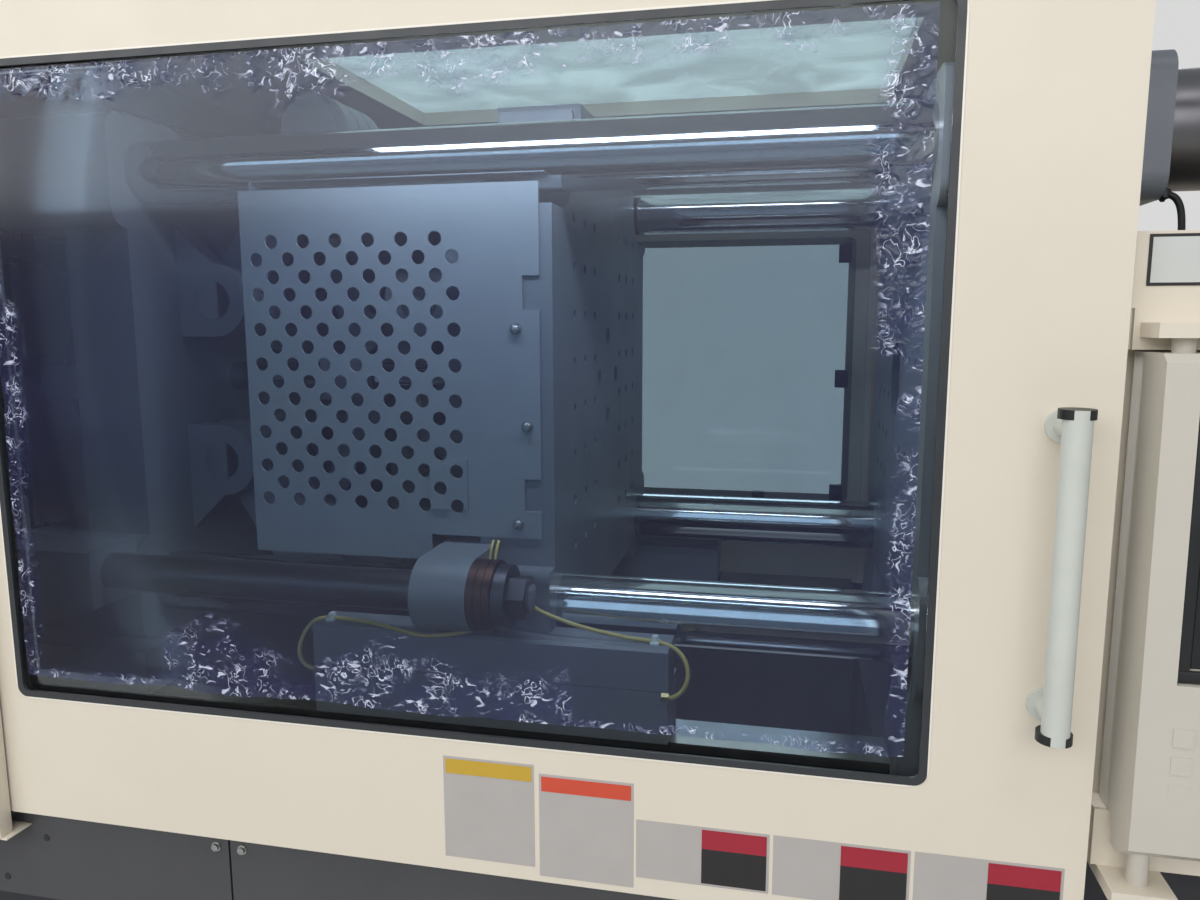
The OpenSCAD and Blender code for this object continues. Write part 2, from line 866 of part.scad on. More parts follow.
// Folded sheet with staggered round holes, fixed to the moving platen's front side
guard_x1 = moving_x - 18;
guard_x0 = guard_x1 - guard_len;
guard_top = 1461;
guard_y = -waist_y;
module side_guard() {
  rows = 16;
  row_step = perf_pitch / 2;
  first_x = guard_x0 + 24;
  first_z = guard_top - 72;
  step_x = guard_x1 - 165;
  step_h = 38;
  notch_w = 24;
  notch_h = 46;
  fold_w = 18;
  tab_w = 57;
  color(machine_grey)
    difference() {
      union() {
        along_y(guard_y - sheet, guard_y)
          difference() {
            union() {
              translate([guard_x0, guard_top - guard_h + step_h])
                square([guard_len, guard_h - step_h]);
              translate([guard_x0, guard_top - guard_h])
                square([step_x - guard_x0, guard_h]);
            }
            for (z = [guard_top - 170, guard_top - 451])
              translate([guard_x1 - notch_w, z])
                square([notch_w + cut, notch_h]);
          }
        box(guard_x0, guard_x0 + sheet, guard_y - sheet, guard_y + fold_w, guard_top - guard_h, guard_top);
        along_y(guard_y - 2 * sheet, guard_y - sheet)
          polygon([
            [step_x, guard_top - 452], [step_x + tab_w, guard_top - 452],
            [step_x + tab_w, guard_top - 377], [step_x, guard_top - 391]
          ]);
      }
      for (row = [0 : rows - 1])
        for (k = [0 : row % 2 == 0 ? 5 : 6])
          bar_y(guard_y - 3 * sheet, guard_y + cut, first_x + k * perf_pitch + (row % 2 == 0 ? row_step : 0),
                first_z - row * row_step, perf_d);
    }
}

// Rod of the mechanical stop, which runs from the platen's boss through the tailstock
rod_x1 = moving_x - 10;
ring_x = moving_x - 88;
ring_pitch = 11;
disc_x = ring_x + 3 * ring_pitch;
nut_x = disc_x + 17;
module stopper_rod() {
  rod_x0 = tail_back - clamp_stroke - 60;
  end_d = 40;
  flank = 10;
  teeth = 10;
  tooth = 40;
  color(steel)
    difference() {
      union() {
        bar_x(rod_x0, disc_x, stop_y, stop_z, rod_d);
        bar_x(disc_x - cut, rod_x1, stop_y, stop_z, end_d);
      }
      for (k = [0 : teeth - 1])
        translate([tail_back - 54 - k * tooth, 0, 0])
          along_y(stop_y - rod_d, stop_y + rod_d)
            polygon([
              [0, stop_z + rod_d / 2 - flank], [0, stop_z + rod_d], [-tooth * 0.8, stop_z + rod_d],
              [-tooth * 0.6, stop_z + rod_d / 2 - flank]
            ]);
    }
}

// Rings, washer and hex nut that hold the rod in the boss
module stopper_rings() {
  ring_d = 97;
  disc_d = 86;
  nut_h = 24;
  nut_across = 62;
  end_bore = 40 + 2 * pin_gap;
  color("#7A4A38")
    for (k = [0 : 2])
      difference() {
        bar_x(ring_x + 0.5 + k * ring_pitch, ring_x + (k + 1) * ring_pitch - 0.5, stop_y, stop_z, ring_d);
        bar_x(ring_x - cut, disc_x, stop_y, stop_z, rod_d + 2 * pin_gap);
      }
  color(black)
    difference() {
      union() {
        bar_x(disc_x + run_gap, nut_x, stop_y, stop_z, disc_d);
        translate([nut_x - cut, stop_y, stop_z])
          rotate([0, 90, 0])
            rotate([0, 0, 20])
              cylinder(d = nut_across, h = nut_h + cut, $fn = 6);
      }
      bar_x(disc_x, nut_x + nut_h + cut, stop_y, stop_z, end_bore);
    }
}

// Pawl that drops into the rod's notches, hinged on the tailstock
pawl_x = tail_back + 30;
pawl_z = stop_z + 85;
pawl_t = 24;
pawl_pin_d = 16;
module stopper_pawl() {
  color(steel) {
    along_y(stop_y - pawl_t / 2, stop_y + pawl_t / 2)
      difference() {
        union() {
          translate([pawl_x, pawl_z])
            circle(d = 44);
          polygon([
            [pawl_x, pawl_z + 20], [pawl_x - 100, pawl_z - 12], [pawl_x - 112, pawl_z - 54],
            [pawl_x - 96, pawl_z - 54], [pawl_x - 80, pawl_z - 34], [pawl_x, pawl_z - 20]
          ]);
        }
        translate([pawl_x, pawl_z])
          circle(d = pawl_pin_d + 2 * pin_gap);
      }
  }
}

// Slide shoes of the moving platen: a running block and a cap on each side
module slide_shoes() {
  bevel = 4;
  color(machine_grey)
    both_sides() {
      box(shoe_x0, shoe_x1, -shoe_out, -shoe_in, rail_top + run_gap, shoe_seam);
      difference() {
        along_x(shoe_x0, shoe_x1)
          polygon([
            [-shoe_out, shoe_seam + 1], [-shoe_out, shoe_top - bevel], [-shoe_out + bevel, shoe_top],
            [-tie_at - tie_d / 2 - 6, shoe_top], [-tie_at - tie_d / 2 - 6, shoe_seam + 1]
          ]);
        box(moving_back - run_gap, moving_x + run_gap, -platen_size / 2 - run_gap, 0, shoe_seam, shoe_top + cut);
      }
      box(shoe_x0 + 20, shoe_x1 - 20, -shoe_out + 6, -shoe_out + 30, shoe_seam, shoe_seam + 1);
    }
}

// Grease tubes along the operator's side shoes, with clips and fittings
module grease_tubes() {
  tube_d = 6;
  z = shoe_top + tube_d / 2;
  y = -412;
  left = [
    [-824, -440, z + 5], [-850, -437, z + 1], [-880, -436, z], [-940, -434, z], [-1020, y, z], [-1066, y, z + 2],
    [-1088, y, z - 2], [-1100, y, z - 20], [-1096, y, z - 50], [-1079, y, z - 62]
  ];
  right = [
    [-740, -405, 900], [-728, -422, 890], [-705, -426, 872], [-680, -424, z + 4], [-640, y, z],
    [-558, y, z + 2], [-538, y, z - 2], [-526, y, z - 20], [-528, y, z - 50], [-548, y, z - 66]
  ];
  color("#A8A070") {
    tube(left, tube_d);
    tube(right, tube_d);
  }
  color(pale_grey)
    for (x = [-1040, -610])
      box(x - 6, x + 6, y - 8, y + 8, shoe_top, z - tube_d / 2 - run_gap + 0.5);
  color(steel)
    for (p = [[shoe_x0 - 9, shoe_x0, z - 62], [shoe_x1, shoe_x1 + 9, z - 66]])
      bar_x(p[0], p[1], y, p[2], 10);
}

// Thickness of a folded door and place of its inner side
door_t = 28;
door_face = base_half + door_out;
door_top = door_z + door_h;
door_x0 = door_x - door_w;
window_x1 = door_x - window_in;
window_x0 = door_x0 + window_left;
window_w = window_x1 - window_x0;
rear_win_x0 = -1009;
rear_win_x1 = -289;
rear_win_z0 = 866;
rear_win_z1 = 1449;
beam_y0 = base_half - 70;
beam_y1 = beam_y0 + 40;
beam_z0 = 1625;
roof_z = 1674;
rail_y0 = beam_y1;
rail_y1 = rail_y0 + 25;
rail_z0 = 1640;
rail_z1 = 1660;
low_rail_y0 = beam_y1 + 6;
low_rail_y1 = low_rail_y0 + 20;
low_rail_h = 20;
gasket_w = 8;
gasket_proud = 1;
pane_lap = 15;
pane_face = -door_face + sheet;

// Folded door sheet on the operator's side with a window opening and guide shoes
module door_leaf(wx0, wx1, wz0, wz1) {
  inner = -door_face + door_t;
  shoe_w = 90;
  shoe_t = 12;
  along_y(-door_face, pane_face)
    difference() {
      translate([door_x0, door_z])
        square([door_w, door_h]);
      field(wx0, wx1, wz0, wz1, window_r);
    }
  difference() {
    box(door_x0, door_x, pane_face - cut, inner, door_z, door_top);
    box(door_x0 + sheet, door_x - sheet, pane_face - 2 * cut, inner + cut, door_z + sheet, door_top - sheet);
  }
  for (x = [wx0 - 40, wx1 + 45])
    box(x, x + 15, pane_face - cut, inner, door_z + sheet - cut, door_top - sheet + cut);
  for (x = [door_x0 + 60, door_x - 60 - shoe_w]) {
    box(x, x + shoe_w, pane_face - cut, -rail_y1 - run_gap, rail_z0 - shoe_t, rail_z1 + shoe_t);
    for (z = [rail_z0 - shoe_t, rail_z1 + run_gap])
      box(x, x + shoe_w, -rail_y1 - cut, -rail_y0 - 6, z, z + shoe_t - run_gap);
    box(x, x + shoe_w, pane_face - cut, -low_rail_y1 - run_gap, base_top + 2, base_top + low_rail_h);
  }
}

module front_door() {
  color(cream)
    door_leaf(window_x0, window_x1, window_z, window_z + window_h);
}

module rear_door() {
  color(cream)
    mirror([0, 1, 0])
      door_leaf(rear_win_x0, rear_win_x1, rear_win_z0, rear_win_z1);
  color(pale_grey)
    mirror([0, 1, 0])
      handle_shape(door_x - 52);
}

// Tube handle on two round feet
module handle_shape(x) {
  foot_d = 34;
  y = -door_face - handle_reach + handle_d / 2;
  z0 = 882;
  bar_z(z0 - 12, z0 + handle_len + 12, x, y, handle_d);
  for (z = [z0 + 8, z0 + handle_len - 8]) {
    bar_y(y, -door_face, x, z, handle_d - 6);
    bar_y(-door_face - 6, -door_face, x, z, foot_d);
  }
}

module front_handle() {
  color(pale_grey)
    handle_shape(door_x - 52);
}

// Clear panes fixed behind the doors' window openings
module front_window() {
  color("#5A7FA8", 0.4)
    along_y(pane_face, pane_face + pane_t)
      field(window_x0 - pane_lap, window_x1 + pane_lap, window_z - pane_lap, window_z + window_h + pane_lap, window_r);
}

module rear_window() {
  color("#C8D4DC", 0.3)
    mirror([0, 1, 0])
      along_y(pane_face, pane_face + pane_t)
        field(rear_win_x0 - pane_lap, rear_win_x1 + pane_lap, rear_win_z0 - pane_lap, rear_win_z1 + pane_lap, window_r);
}

// Rubber edge strip inside the front window's opening
module front_gasket() {
  color(black)
    along_y(-door_face - gasket_proud, pane_face)
      difference() {
        field(window_x0, window_x1, window_z, window_z + window_h, window_r);
        field(window_x0 + gasket_w, window_x1 - gasket_w, window_z + gasket_w,
              window_z + window_h - gasket_w, window_r - gasket_w / 2);
      }
}

// Protective film that lies on the front pane
module window_film() {
  margin = 14;
  color("#3B6EA5", 0.5)
    along_y(pane_face - film_t, pane_face)
      field(window_x0 + gasket_w + 1, window_x1 - gasket_w - margin, window_z + gasket_w + margin,
            window_z + window_h - gasket_w - 1, window_r - gasket_w / 2);
}

// Frame that carries the roof and the doors' rails
module guard_frame() {
  x0 = -half_len + 40;
  x1 = 480;
  post = 40;
  joint = 0.1;
  mid_x = door_x0 - 70;
  color(pale_grey) {
    both_sides() {
      box(x0, x1, -beam_y1, -beam_y0, beam_z0, roof_z);
      for (x = [x0, mid_x, x1 - post])
        box(x, x + post, -beam_y1, -beam_y0, base_top, beam_z0 - joint);
      box(door_x0 - door_travel, door_x, -rail_y1, -rail_y0 - joint, rail_z0, rail_z1);
      box(door_x0 - door_travel, door_x, -low_rail_y1, -low_rail_y0, base_top, base_top + low_rail_h);
    }
    for (x = [x0, mid_x, door_x - 15, x1 - post])
      box(x, x + post, -beam_y0 + joint, beam_y0 - joint, beam_z0, roof_z);
  }
}

// Roof sheet over the clamp with a framed opening
roof_open_x0 = -1161;
roof_open_x1 = -249;
roof_open_y = 240;
roof_rim_w = 26;
roof_rim_h = 22;
module roof_cover() {
  x1 = door_x + 35;
  hood_z = door_top + 6;
  color(cream) {
    difference() {
      box(-half_len + sheet, x1, -beam_y1, beam_y1, roof_z, roof_z + sheet);
      box(roof_open_x0, roof_open_x1, -roof_open_y, roof_open_y, roof_z - cut, roof_z + sheet + cut);
    }
    both_sides() {
      box(cover_x1 + cut, x1, -beam_y1, -beam_y1 + sheet, roof_z, hood_z + cut);
      box(cover_x1 + cut, x1, -door_face - 6, -beam_y1 + sheet, hood_z, hood_z + sheet);
    }
  }
  color(pale_grey)
    difference() {
      box(roof_open_x0 - roof_rim_w, roof_open_x1 + roof_rim_w, -roof_open_y - roof_rim_w,
          roof_open_y + roof_rim_w, roof_z + sheet, roof_z + sheet + roof_rim_h);
      box(roof_open_x0, roof_open_x1, -roof_open_y, roof_open_y, roof_z, roof_z + roof_rim_h + sheet + cut);
    }
}

// Pale sheet that closes the roof opening
module roof_window() {
  t = 5;
  z = roof_z + sheet + roof_rim_h;
  color("#AEBBB4")
    box(roof_open_x0 - roof_rim_w, roof_open_x1 + roof_rim_w, -roof_open_y - roof_rim_w,
        roof_open_y + roof_rim_w, z, z + t);
}

// Covers of the tailstock's end; the doors slide in behind them
cover_y = door_face + 45;
cover_z0 = 590;
cover_x1 = door_x0 - 5;
module left_covers() {
  top = 1722;
  inner = door_face + 5;
  bevel = 12;
  color(cream) {
    both_sides()
      along_z(cover_z0, top)
        polygon([
          [-half_len, -cover_y], [cover_x1 - bevel, -cover_y], [cover_x1, -cover_y + bevel],
          [cover_x1, -inner], [cover_x1 - sheet, -inner], [cover_x1 - sheet, -cover_y + bevel + cut],
          [cover_x1 - bevel - cut, -cover_y + sheet], [-half_len, -cover_y + sheet]
        ]);
    both_sides() {
      box(-half_len, cover_x1 - bevel, -cover_y, -inner, cover_z0, cover_z0 + sheet);
      box(-half_len, cover_x1 - bevel, -cover_y, -beam_y1, top - sheet, top);
      box(-half_len, cover_x1 - bevel, -beam_y1, -beam_y1 + sheet, roof_z + sheet, top);
    }
    difference() {
      box(-half_len, -half_len + sheet, -cover_y, cover_y, cover_z0, top);
      for (z = [800 : 40 : 1000], s = [-1, 1])
        box(-half_len - cut, -half_len + sheet + cut, s * 220 - 90, s * 220 + 90, z, z + 10);
    }
  }
}

module along_z(z0, z1) {
  translate([0, 0, z0])
    linear_extrude(z1 - z0)
      children();
}

// Fixed frame to the right of the doors: beam, ledge, back sheet and a bare sign plate
frame_x0 = door_x + 10;
frame_x1 = 480;
frame_y1 = base_half + 10;
swivel_y = frame_y1 + 24;
swivel_d = 20;
module right_frame() {
  beam_top = 1287;
  beam_h = 40;
  ledge_z0 = 709;
  ledge_z1 = 771;
  plate_x1 = frame_x0 + 140;
  color(cream)
    both_sides() {
      box(frame_x0, frame_x1, -frame_y1, -beam_y1, beam_top - beam_h, beam_top);
      box(frame_x0, frame_x1, -frame_y1, -beam_y1, ledge_z0, ledge_z1);
      box(frame_x1 - 40, frame_x1, -frame_y1, -beam_y1, ledge_z1 - cut, beam_top - beam_h + cut);
      box(frame_x0, frame_x1, -beam_y1 - sheet, -beam_y1, ledge_z1 - cut, beam_top - beam_h + cut);
    }
  color(cream)
    for (lug = [[beam_top - 28, -frame_y1], [ledge_z0 - 14, -beam_y1 - 10]])
      difference() {
        box(swivel_x - 30, swivel_x + 30, -swivel_y - 24, lug[1], lug[0], lug[0] + 14);
        bar_z(lug[0] - cut, lug[0] + 14 + cut, swivel_x, -swivel_y, swivel_d + 2 * pin_gap);
      }
  color(dark_grey)
    purge_bracket();
  color(dark_grey) {
    box(frame_x0, plate_x1, -frame_y1 + 10, -frame_y1 + 24, beam_top, beam_top + 17);
    box(frame_x0, plate_x1, -frame_y1 + 10, -frame_y1 + 14, beam_top + 16, beam_top + 73);
  }
}

// Weldment of side plates and a top plate under the clamp, with the chute opening
wall = 20;
chute_x0 = moving_x + 27;
chute_x1 = mould_x - 30;
chute_y = 260;
join_x = -200;
pedestal_y = base_half - 50;
module clamp_base() {
  x0 = -half_len + 40;
  bay_x = moving_x - 33;
  color(dark_grey) {
    difference() {
      box(x0, join_x, -base_half, base_half, apron_z, base_top);
      box(x0 + wall, bay_x - wall, -base_half + wall, base_half - wall, apron_z - cut, base_top - wall);
      box(bay_x, join_x - wall, -base_half + wall, base_half - wall, apron_z - cut, base_top + cut);
    }
    chute_plates(bay_x, join_x - wall);
    difference() {
      box(x0 + 60, bay_x, -pedestal_y, pedestal_y, 2 * pad_h, apron_z);
      box(x0 + 60 + wall, bay_x - wall, -pedestal_y + wall, pedestal_y - wall, 2 * pad_h - cut, apron_z + cut);
    }
    pad_seats(clamp_pads);
  }
}

// Bed plates round the chute between x0 and x1, and the chute's four side plates
module chute_plates(x0, x1) {
  joint = 0.1;
  skirt_t = 6;
  skirt_z = 390;
  z0 = base_top - wall;
  side_y = base_half - wall - joint;
  box(x0 + joint, chute_x0, -side_y, side_y, z0, base_top);
  box(chute_x1, x1 - joint, -side_y, side_y, z0, base_top);
  for (x = [chute_x0 - skirt_t, chute_x1])
    box(x, x + skirt_t, -chute_y - skirt_t, chute_y + skirt_t, skirt_z, z0 - joint);
  both_sides() {
    box(chute_x0 + joint, chute_x1 - joint, chute_y, side_y, z0, base_top);
    box(chute_x0 + joint, chute_x1 - joint, chute_y, chute_y + skirt_t, skirt_z, z0 - joint);
  }
}

// Seats of the levelling studs inside a base's lower edge
seat_w = 120;
clamp_pads = [for (x = [-half_len + 250, -1600, -900], s = [-1, 1]) [x, s * (pedestal_y - seat_w / 2)]];
middle_pads = [for (s = [-1, 1]) [60, s * (pedestal_y - seat_w / 2)]];
cabinet_pads = [for (x = [1100, half_len - 200]) [x, -base_half + seat_w / 2]];
rear_pads = [for (p = cabinet_pads) [p.x, -p.y]];
module pad_seats(pads) {
  seat_t = 15;
  for (p = pads)
    box(p.x - seat_w / 2, p.x + seat_w / 2, p.y - seat_w / 2, p.y + seat_w / 2, 2 * pad_h, 2 * pad_h + seat_t);
}

// Base of the injection unit, bolted to the clamp's base
cabinet_x0 = 500;
cabinet_y = -120;
module injection_base() {
  color(dark_grey) {
    difference() {
      box(join_x, cabinet_x0 - 5, -base_half, base_half, apron_z, base_top);
      box(join_x + wall, cabinet_x0 - 5 - wall, -base_half + wall, base_half - wall, apron_z - cut, base_top - wall);
    }
    difference() {
      box(join_x, cabinet_x0 - 5, -pedestal_y, pedestal_y, 2 * pad_h, apron_z);
      box(join_x + wall, cabinet_x0 + cut, -pedestal_y + wall, pedestal_y - wall, 2 * pad_h - cut, apron_z + cut);
    }
    difference() {
      box(cabinet_x0 - 5 - cut, half_len - 10, cabinet_y + 1, base_half, 2 * pad_h, cabinet_top);
      box(cabinet_x0 + wall, half_len - 10 - wall, cabinet_y + 1 + wall, base_half - wall,
          2 * pad_h - cut, cabinet_top - wall);
    }
    pad_seats(concat(middle_pads, rear_pads));
    for (y = [-rail_gap / 2, rail_gap / 2])
      box(carriage_x0 - 130, carriage_x1 + carriage_travel + 60, y - 20, y + 20, cabinet_top, cabinet_top + 26);
  }
}

// Levelling pads: foot, stud and lock nut
module levelling_pads() {
  foot_d = 130;
  stud_d = 30;
  foot_h = 25;
  color(steel)
    for (p = concat(clamp_pads, middle_pads, cabinet_pads, rear_pads)) {
      translate([p.x, p.y, 0])
        rotate_extrude()
          polygon([[0, 0], [foot_d / 2, 0], [foot_d / 2, foot_h - 8], [stud_d, foot_h], [0, foot_h]]);
      bar_z(foot_h - cut, 2 * pad_h, p.x, p.y, stud_d);
      translate([p.x, p.y, 2 * pad_h - 22])
        cylinder(d = 54, h = 22, $fn = 6);
    }
}

// Dark sheet panels on the base's sides, above the recess
module base_panels() {
  top = door_z - 7;
  seams = [-half_len + 40, -1109, -200, cabinet_x0 - 5];
  proud = 10;
  gap = 1.5;
  color("#48484A")
    both_sides()
      for (k = [0 : 2])
        difference() {
          box(seams[k] + gap, seams[k + 1] - gap, -base_half - proud, -base_half, apron_z, top);
          box(seams[k] + gap + sheet, seams[k + 1] - gap - sheet, -base_half - proud + sheet, -base_half + cut,
              apron_z + sheet, top - sheet);
          for (x = [seams[k] + 19, seams[k + 1] - 19])
            bar_y(-base_half - proud - cut, -base_half, x, apron_z + 24, 9);
        }
}

// Hardened rails that the platens' shoes run on
module platen_rails() {
  x0 = tail_back - height_travel - 60;
  x1 = mould_x - 30;
  foot_h = 24;
  foot_in = 20;
  color(steel)
    both_sides() {
      box(x0, x1, -shoe_out + 8, -shoe_in - 8, base_top + foot_h - cut, rail_top);
      difference() {
        box(x0, x1, -shoe_out - foot_in, -shoe_in + foot_in, base_top, base_top + foot_h);
        for (x = [x0 + 80 : 200 : x1 - 60], y = [-shoe_out - foot_in / 2 + 1, -shoe_in + foot_in / 2 - 1])
          bar_z(base_top - cut, base_top + foot_h + cut, x, y, 11);
      }
    }
}

// Places along the injection unit
nozzle_tip = mould_x + 6;
nozzle_len = 80;
barrel_x = nozzle_tip + nozzle_len;
feed_x = barrel_x + barrel_len;
feed_t = 180;
pusher_x = feed_x + feed_t + 130;
pusher_t = 70;
back_x = pusher_x + pusher_t + screw_travel + 160;
back_t = 80;
carriage_x0 = feed_x - 26;
carriage_x1 = back_x + back_t + 20;
rail_gap = 340;
plate_y = 260;
plate_z1 = axis_z + 210;
deck_z = cabinet_top + 70;
rod_y = 215;
rod_z = 150;
inj_rod_d = 50;
throat_x = feed_x + 90;
throat_d = 60;
gate_z = plate_z1 + 12;

// Carriage: deck on bearing blocks, feed housing, back plate, guide rods and two motors
module carriage() {
  deck_t = 40;
  color(machine_grey) {
    box(carriage_x0, carriage_x1, -plate_y, plate_y, deck_z - deck_t, deck_z);
    for (x = [carriage_x0 + 40, carriage_x1 - 200], y = [-rail_gap / 2, rail_gap / 2])
      difference() {
        box(x, x + 160, y - 42, y + 42, cabinet_top + 4, deck_z - deck_t + cut);
        box(x - cut, x + 161, y - 20 - run_gap, y + 20 + run_gap, cabinet_top, cabinet_top + 26 + run_gap);
      }
    difference() {
      box(feed_x, feed_x + feed_t, -plate_y, plate_y, deck_z - cut, plate_z1);
      bar_x(feed_x - cut, feed_x + feed_t + cut, 0, axis_z, screw_d + 0.6);
      bar_x(feed_x - cut, feed_x + 70, 0, axis_z, barrel_d - 20);
      bar_z(axis_z, plate_z1 + cut, throat_x, 0, throat_d);
    }
    difference() {
      box(back_x, back_x + back_t, -plate_y, plate_y, deck_z - cut, plate_z1);
      for (y = [-ball_gap / 2, ball_gap / 2])
        bore_x(back_x, back_x + back_t, y, axis_z, ball_d - 8);
    }
  }
  color(chrome)
    for (y = [-rod_y, rod_y], z = [axis_z - rod_z, axis_z + rod_z])
      bar_x(feed_x + feed_t, back_x, y, z, inj_rod_d);
  color(black)
    for (y = [-85, 85])
      translate([back_x, y, axis_z + 100])
        mirror([1, 0, 0])
          motor(110, 100);
}

// Barrel with its head, nozzle and heater bands
module barrel() {
  tail = 70;
  band_d = barrel_d + 16;
  band_w = 130;
  nozzle_d = 56;
  color(steel)
    translate([nozzle_tip, 0, axis_z])
      rotate([0, 90, 0])
        rotate_extrude($fn = 72)
          polygon([
            [4, 0], [12, 0], [nozzle_d / 2, 22], [nozzle_d / 2, nozzle_len], [barrel_d / 2, nozzle_len],
            [barrel_d / 2, nozzle_len + barrel_len], [barrel_d / 2 - 10 - pin_gap, nozzle_len + barrel_len],
            [barrel_d / 2 - 10 - pin_gap, nozzle_len + barrel_len + tail], [screw_d / 2 + 0.3, nozzle_len + barrel_len + tail],
            [screw_d / 2 + 0.3, nozzle_len + 20], [4, nozzle_len - 10]
          ]);
  color(pale_grey)
    for (k = [0 : 5])
      translate([barrel_x + 80 + k * 155, 0, axis_z])
        difference() {
          bar_x(0, band_w, 0, 0, band_d);
          bar_x(-cut, band_w + cut, 0, 0, barrel_d + 0.2);
          box(-cut, band_w + cut, -3, 3, 0, band_d);
        }
}

// Plasticising screw, from its tip in the barrel to its coupling at the pusher
module injection_screw() {
  tip = 40;
  play = 8;
  x0 = barrel_x + 24;
  color(chrome)
    translate([x0, 0, axis_z])
      rotate([0, 90, 0])
        rotate_extrude($fn = 60)
          polygon([
            [0, 0], [screw_d / 2 - play, tip], [screw_d / 2, tip], [screw_d / 2, tip + 20],
            [screw_d / 2 - play, tip + 24], [screw_d / 2 - play, feed_x - x0 - 20],
            [screw_d / 2, feed_x - x0], [screw_d / 2, pusher_x - x0], [0, pusher_x - x0]
          ]);
}

// Pusher plate with its ball nuts, screw bearing and the motor that turns the screw
module pusher_plate() {
  nut_len = 70;
  color(machine_grey)
    difference() {
      union() {
        box(pusher_x, pusher_x + pusher_t, -plate_y, plate_y, axis_z - 190, axis_z + 190);
        for (y = [-ball_gap / 2, ball_gap / 2])
          bar_x(pusher_x + pusher_t - cut, pusher_x + pusher_t + nut_len, y, axis_z, 84);
        bar_x(pusher_x + pusher_t - cut, pusher_x + pusher_t + 40, 0, axis_z, 170);
      }
      for (y = [-ball_gap / 2, ball_gap / 2])
        bore_x(pusher_x, pusher_x + pusher_t + nut_len, y, axis_z, ball_d);
      for (y = [-rod_y, rod_y], z = [axis_z - rod_z, axis_z + rod_z])
        bore_x(pusher_x, pusher_x + pusher_t, y, z, inj_rod_d);
    }
  color(black)
    translate([pusher_x + pusher_t, 0, axis_z - 120])
      motor(100, 150);
}

// Injection ball screw with its pulley behind the back plate
module ball_screw(y) {
  pulley_r = 75;
  pulley_w = 36;
  front = pusher_x - 20;
  pulley_mid = back_x + back_t + 12 + pulley_w / 2;
  color(chrome) {
    bar_x(front, back_x - run_gap, y, axis_z, ball_d);
    bar_x(back_x - cut, pulley_mid + pulley_w / 2, y, axis_z, ball_d - 8);
  }
  color(steel)
    translate([pulley_mid, y, axis_z])
      wheel(pulley_r, pulley_w, 32, ball_d / 2 - 4);
}

module front_ball_screw() {
  ball_screw(-ball_gap / 2);
}

module rear_ball_screw() {
  ball_screw(ball_gap / 2);
}

// Sheet cover over the carriage's drive, open below
cover_half = 300;
module injection_cover() {
  x0 = feed_x + feed_t + 6;
  x1 = carriage_x1 + 120;
  z0 = deck_z - 40;
  z1 = axis_z + 260;
  bevel = 50;
  color(cream)
    difference() {
      along_x(x0, x1)
        cover_outline(cover_half, z0, z1, bevel);
      along_x(x0 - cut, x1 - sheet)
        cover_outline(cover_half - sheet, z0 - cut, z1 - sheet, bevel - sheet / 2);
      for (x = [x0 + 120 : 24 : x0 + 408], s = [-1, 1])
        box(x, x + 8, s * cover_half - 5, s * cover_half + 5, z0 + 90, z0 + 230);
    }
  color(cream)
    both_sides()
      box(x0 + 20, x1 - 20, -cover_half + sheet - cut, -plate_y, z0 + 4, z0 + 4 + sheet);
}

module cover_outline(half, z0, z1, bevel) {
  polygon([
    [-half, z0], [-half, z1 - bevel], [-half + bevel, z1], [half - bevel, z1], [half, z1 - bevel], [half, z0]
  ]);
}

// Hinged guard over the nozzle, behind the fixed platen
purge_x0 = fixed_back + run_gap;
purge_x1 = purge_x0 + 360;
purge_y = 240;
purge_z0 = axis_z - 140;
purge_z1 = axis_z + 200;
module purge_guard() {
  color(cream) {
    difference() {
      along_x(purge_x0, purge_x1)
        cover_outline(purge_y, purge_z0, purge_z1, 40);
      along_x(purge_x0 - cut, purge_x1 - sheet)
        cover_outline(purge_y - sheet, purge_z0 - cut, purge_z1 - sheet, 38);
      bar_x(purge_x1 - 10, purge_x1 + cut, 0, axis_z, barrel_d + 60);
      box(purge_x1 - 10, purge_x1 + cut, -barrel_d / 2 - 60, barrel_d / 2 + 30, 0, axis_z);
      box(purge_x0 + 60, purge_x1 - 60, -purge_y - cut, -purge_y + sheet + cut, axis_z - 60, axis_z + 110);
    }
    for (x = hinge_xs)
      difference() {
        union() {
          bar_x(x, x + hinge_len, purge_y + hinge_out, purge_z0 + 8, hinge_d);
          box(x, x + hinge_len, purge_y - cut, purge_y + hinge_out, purge_z0 + 4, purge_z0 + 10);
        }
        bore_x(x, x + hinge_len, purge_y + hinge_out, purge_z0 + 8, hinge_pin_d);
      }
  }
}

// Arm on the fixed platen's back that carries the purge guard's hinge pins
hinge_d = 16;
hinge_pin_d = 8;
hinge_out = 10;
hinge_len = 40;
hinge_xs = [purge_x0 + 40, purge_x1 - 80];
module purge_bracket() {
  arm_y = purge_y + hinge_out + 10;
  ear = 5;
  z = purge_z0 + 8;
  box(mould_x + face_t, fixed_back + 12, arm_y, arm_y + 40, z - 90, z + 10);
  box(fixed_back, hinge_xs[1] + hinge_len + 10, arm_y, arm_y + 16, z - 10, z + 10);
  for (x = hinge_xs) {
    bar_x(x - ear - run_gap, x + hinge_len + ear + run_gap, purge_y + hinge_out, z, hinge_pin_d);
    for (e = [x - ear - run_gap, x + hinge_len + run_gap])
      box(e, e + ear, purge_y + hinge_out - 7, arm_y + cut, z - 7, z + 7);
  }
}

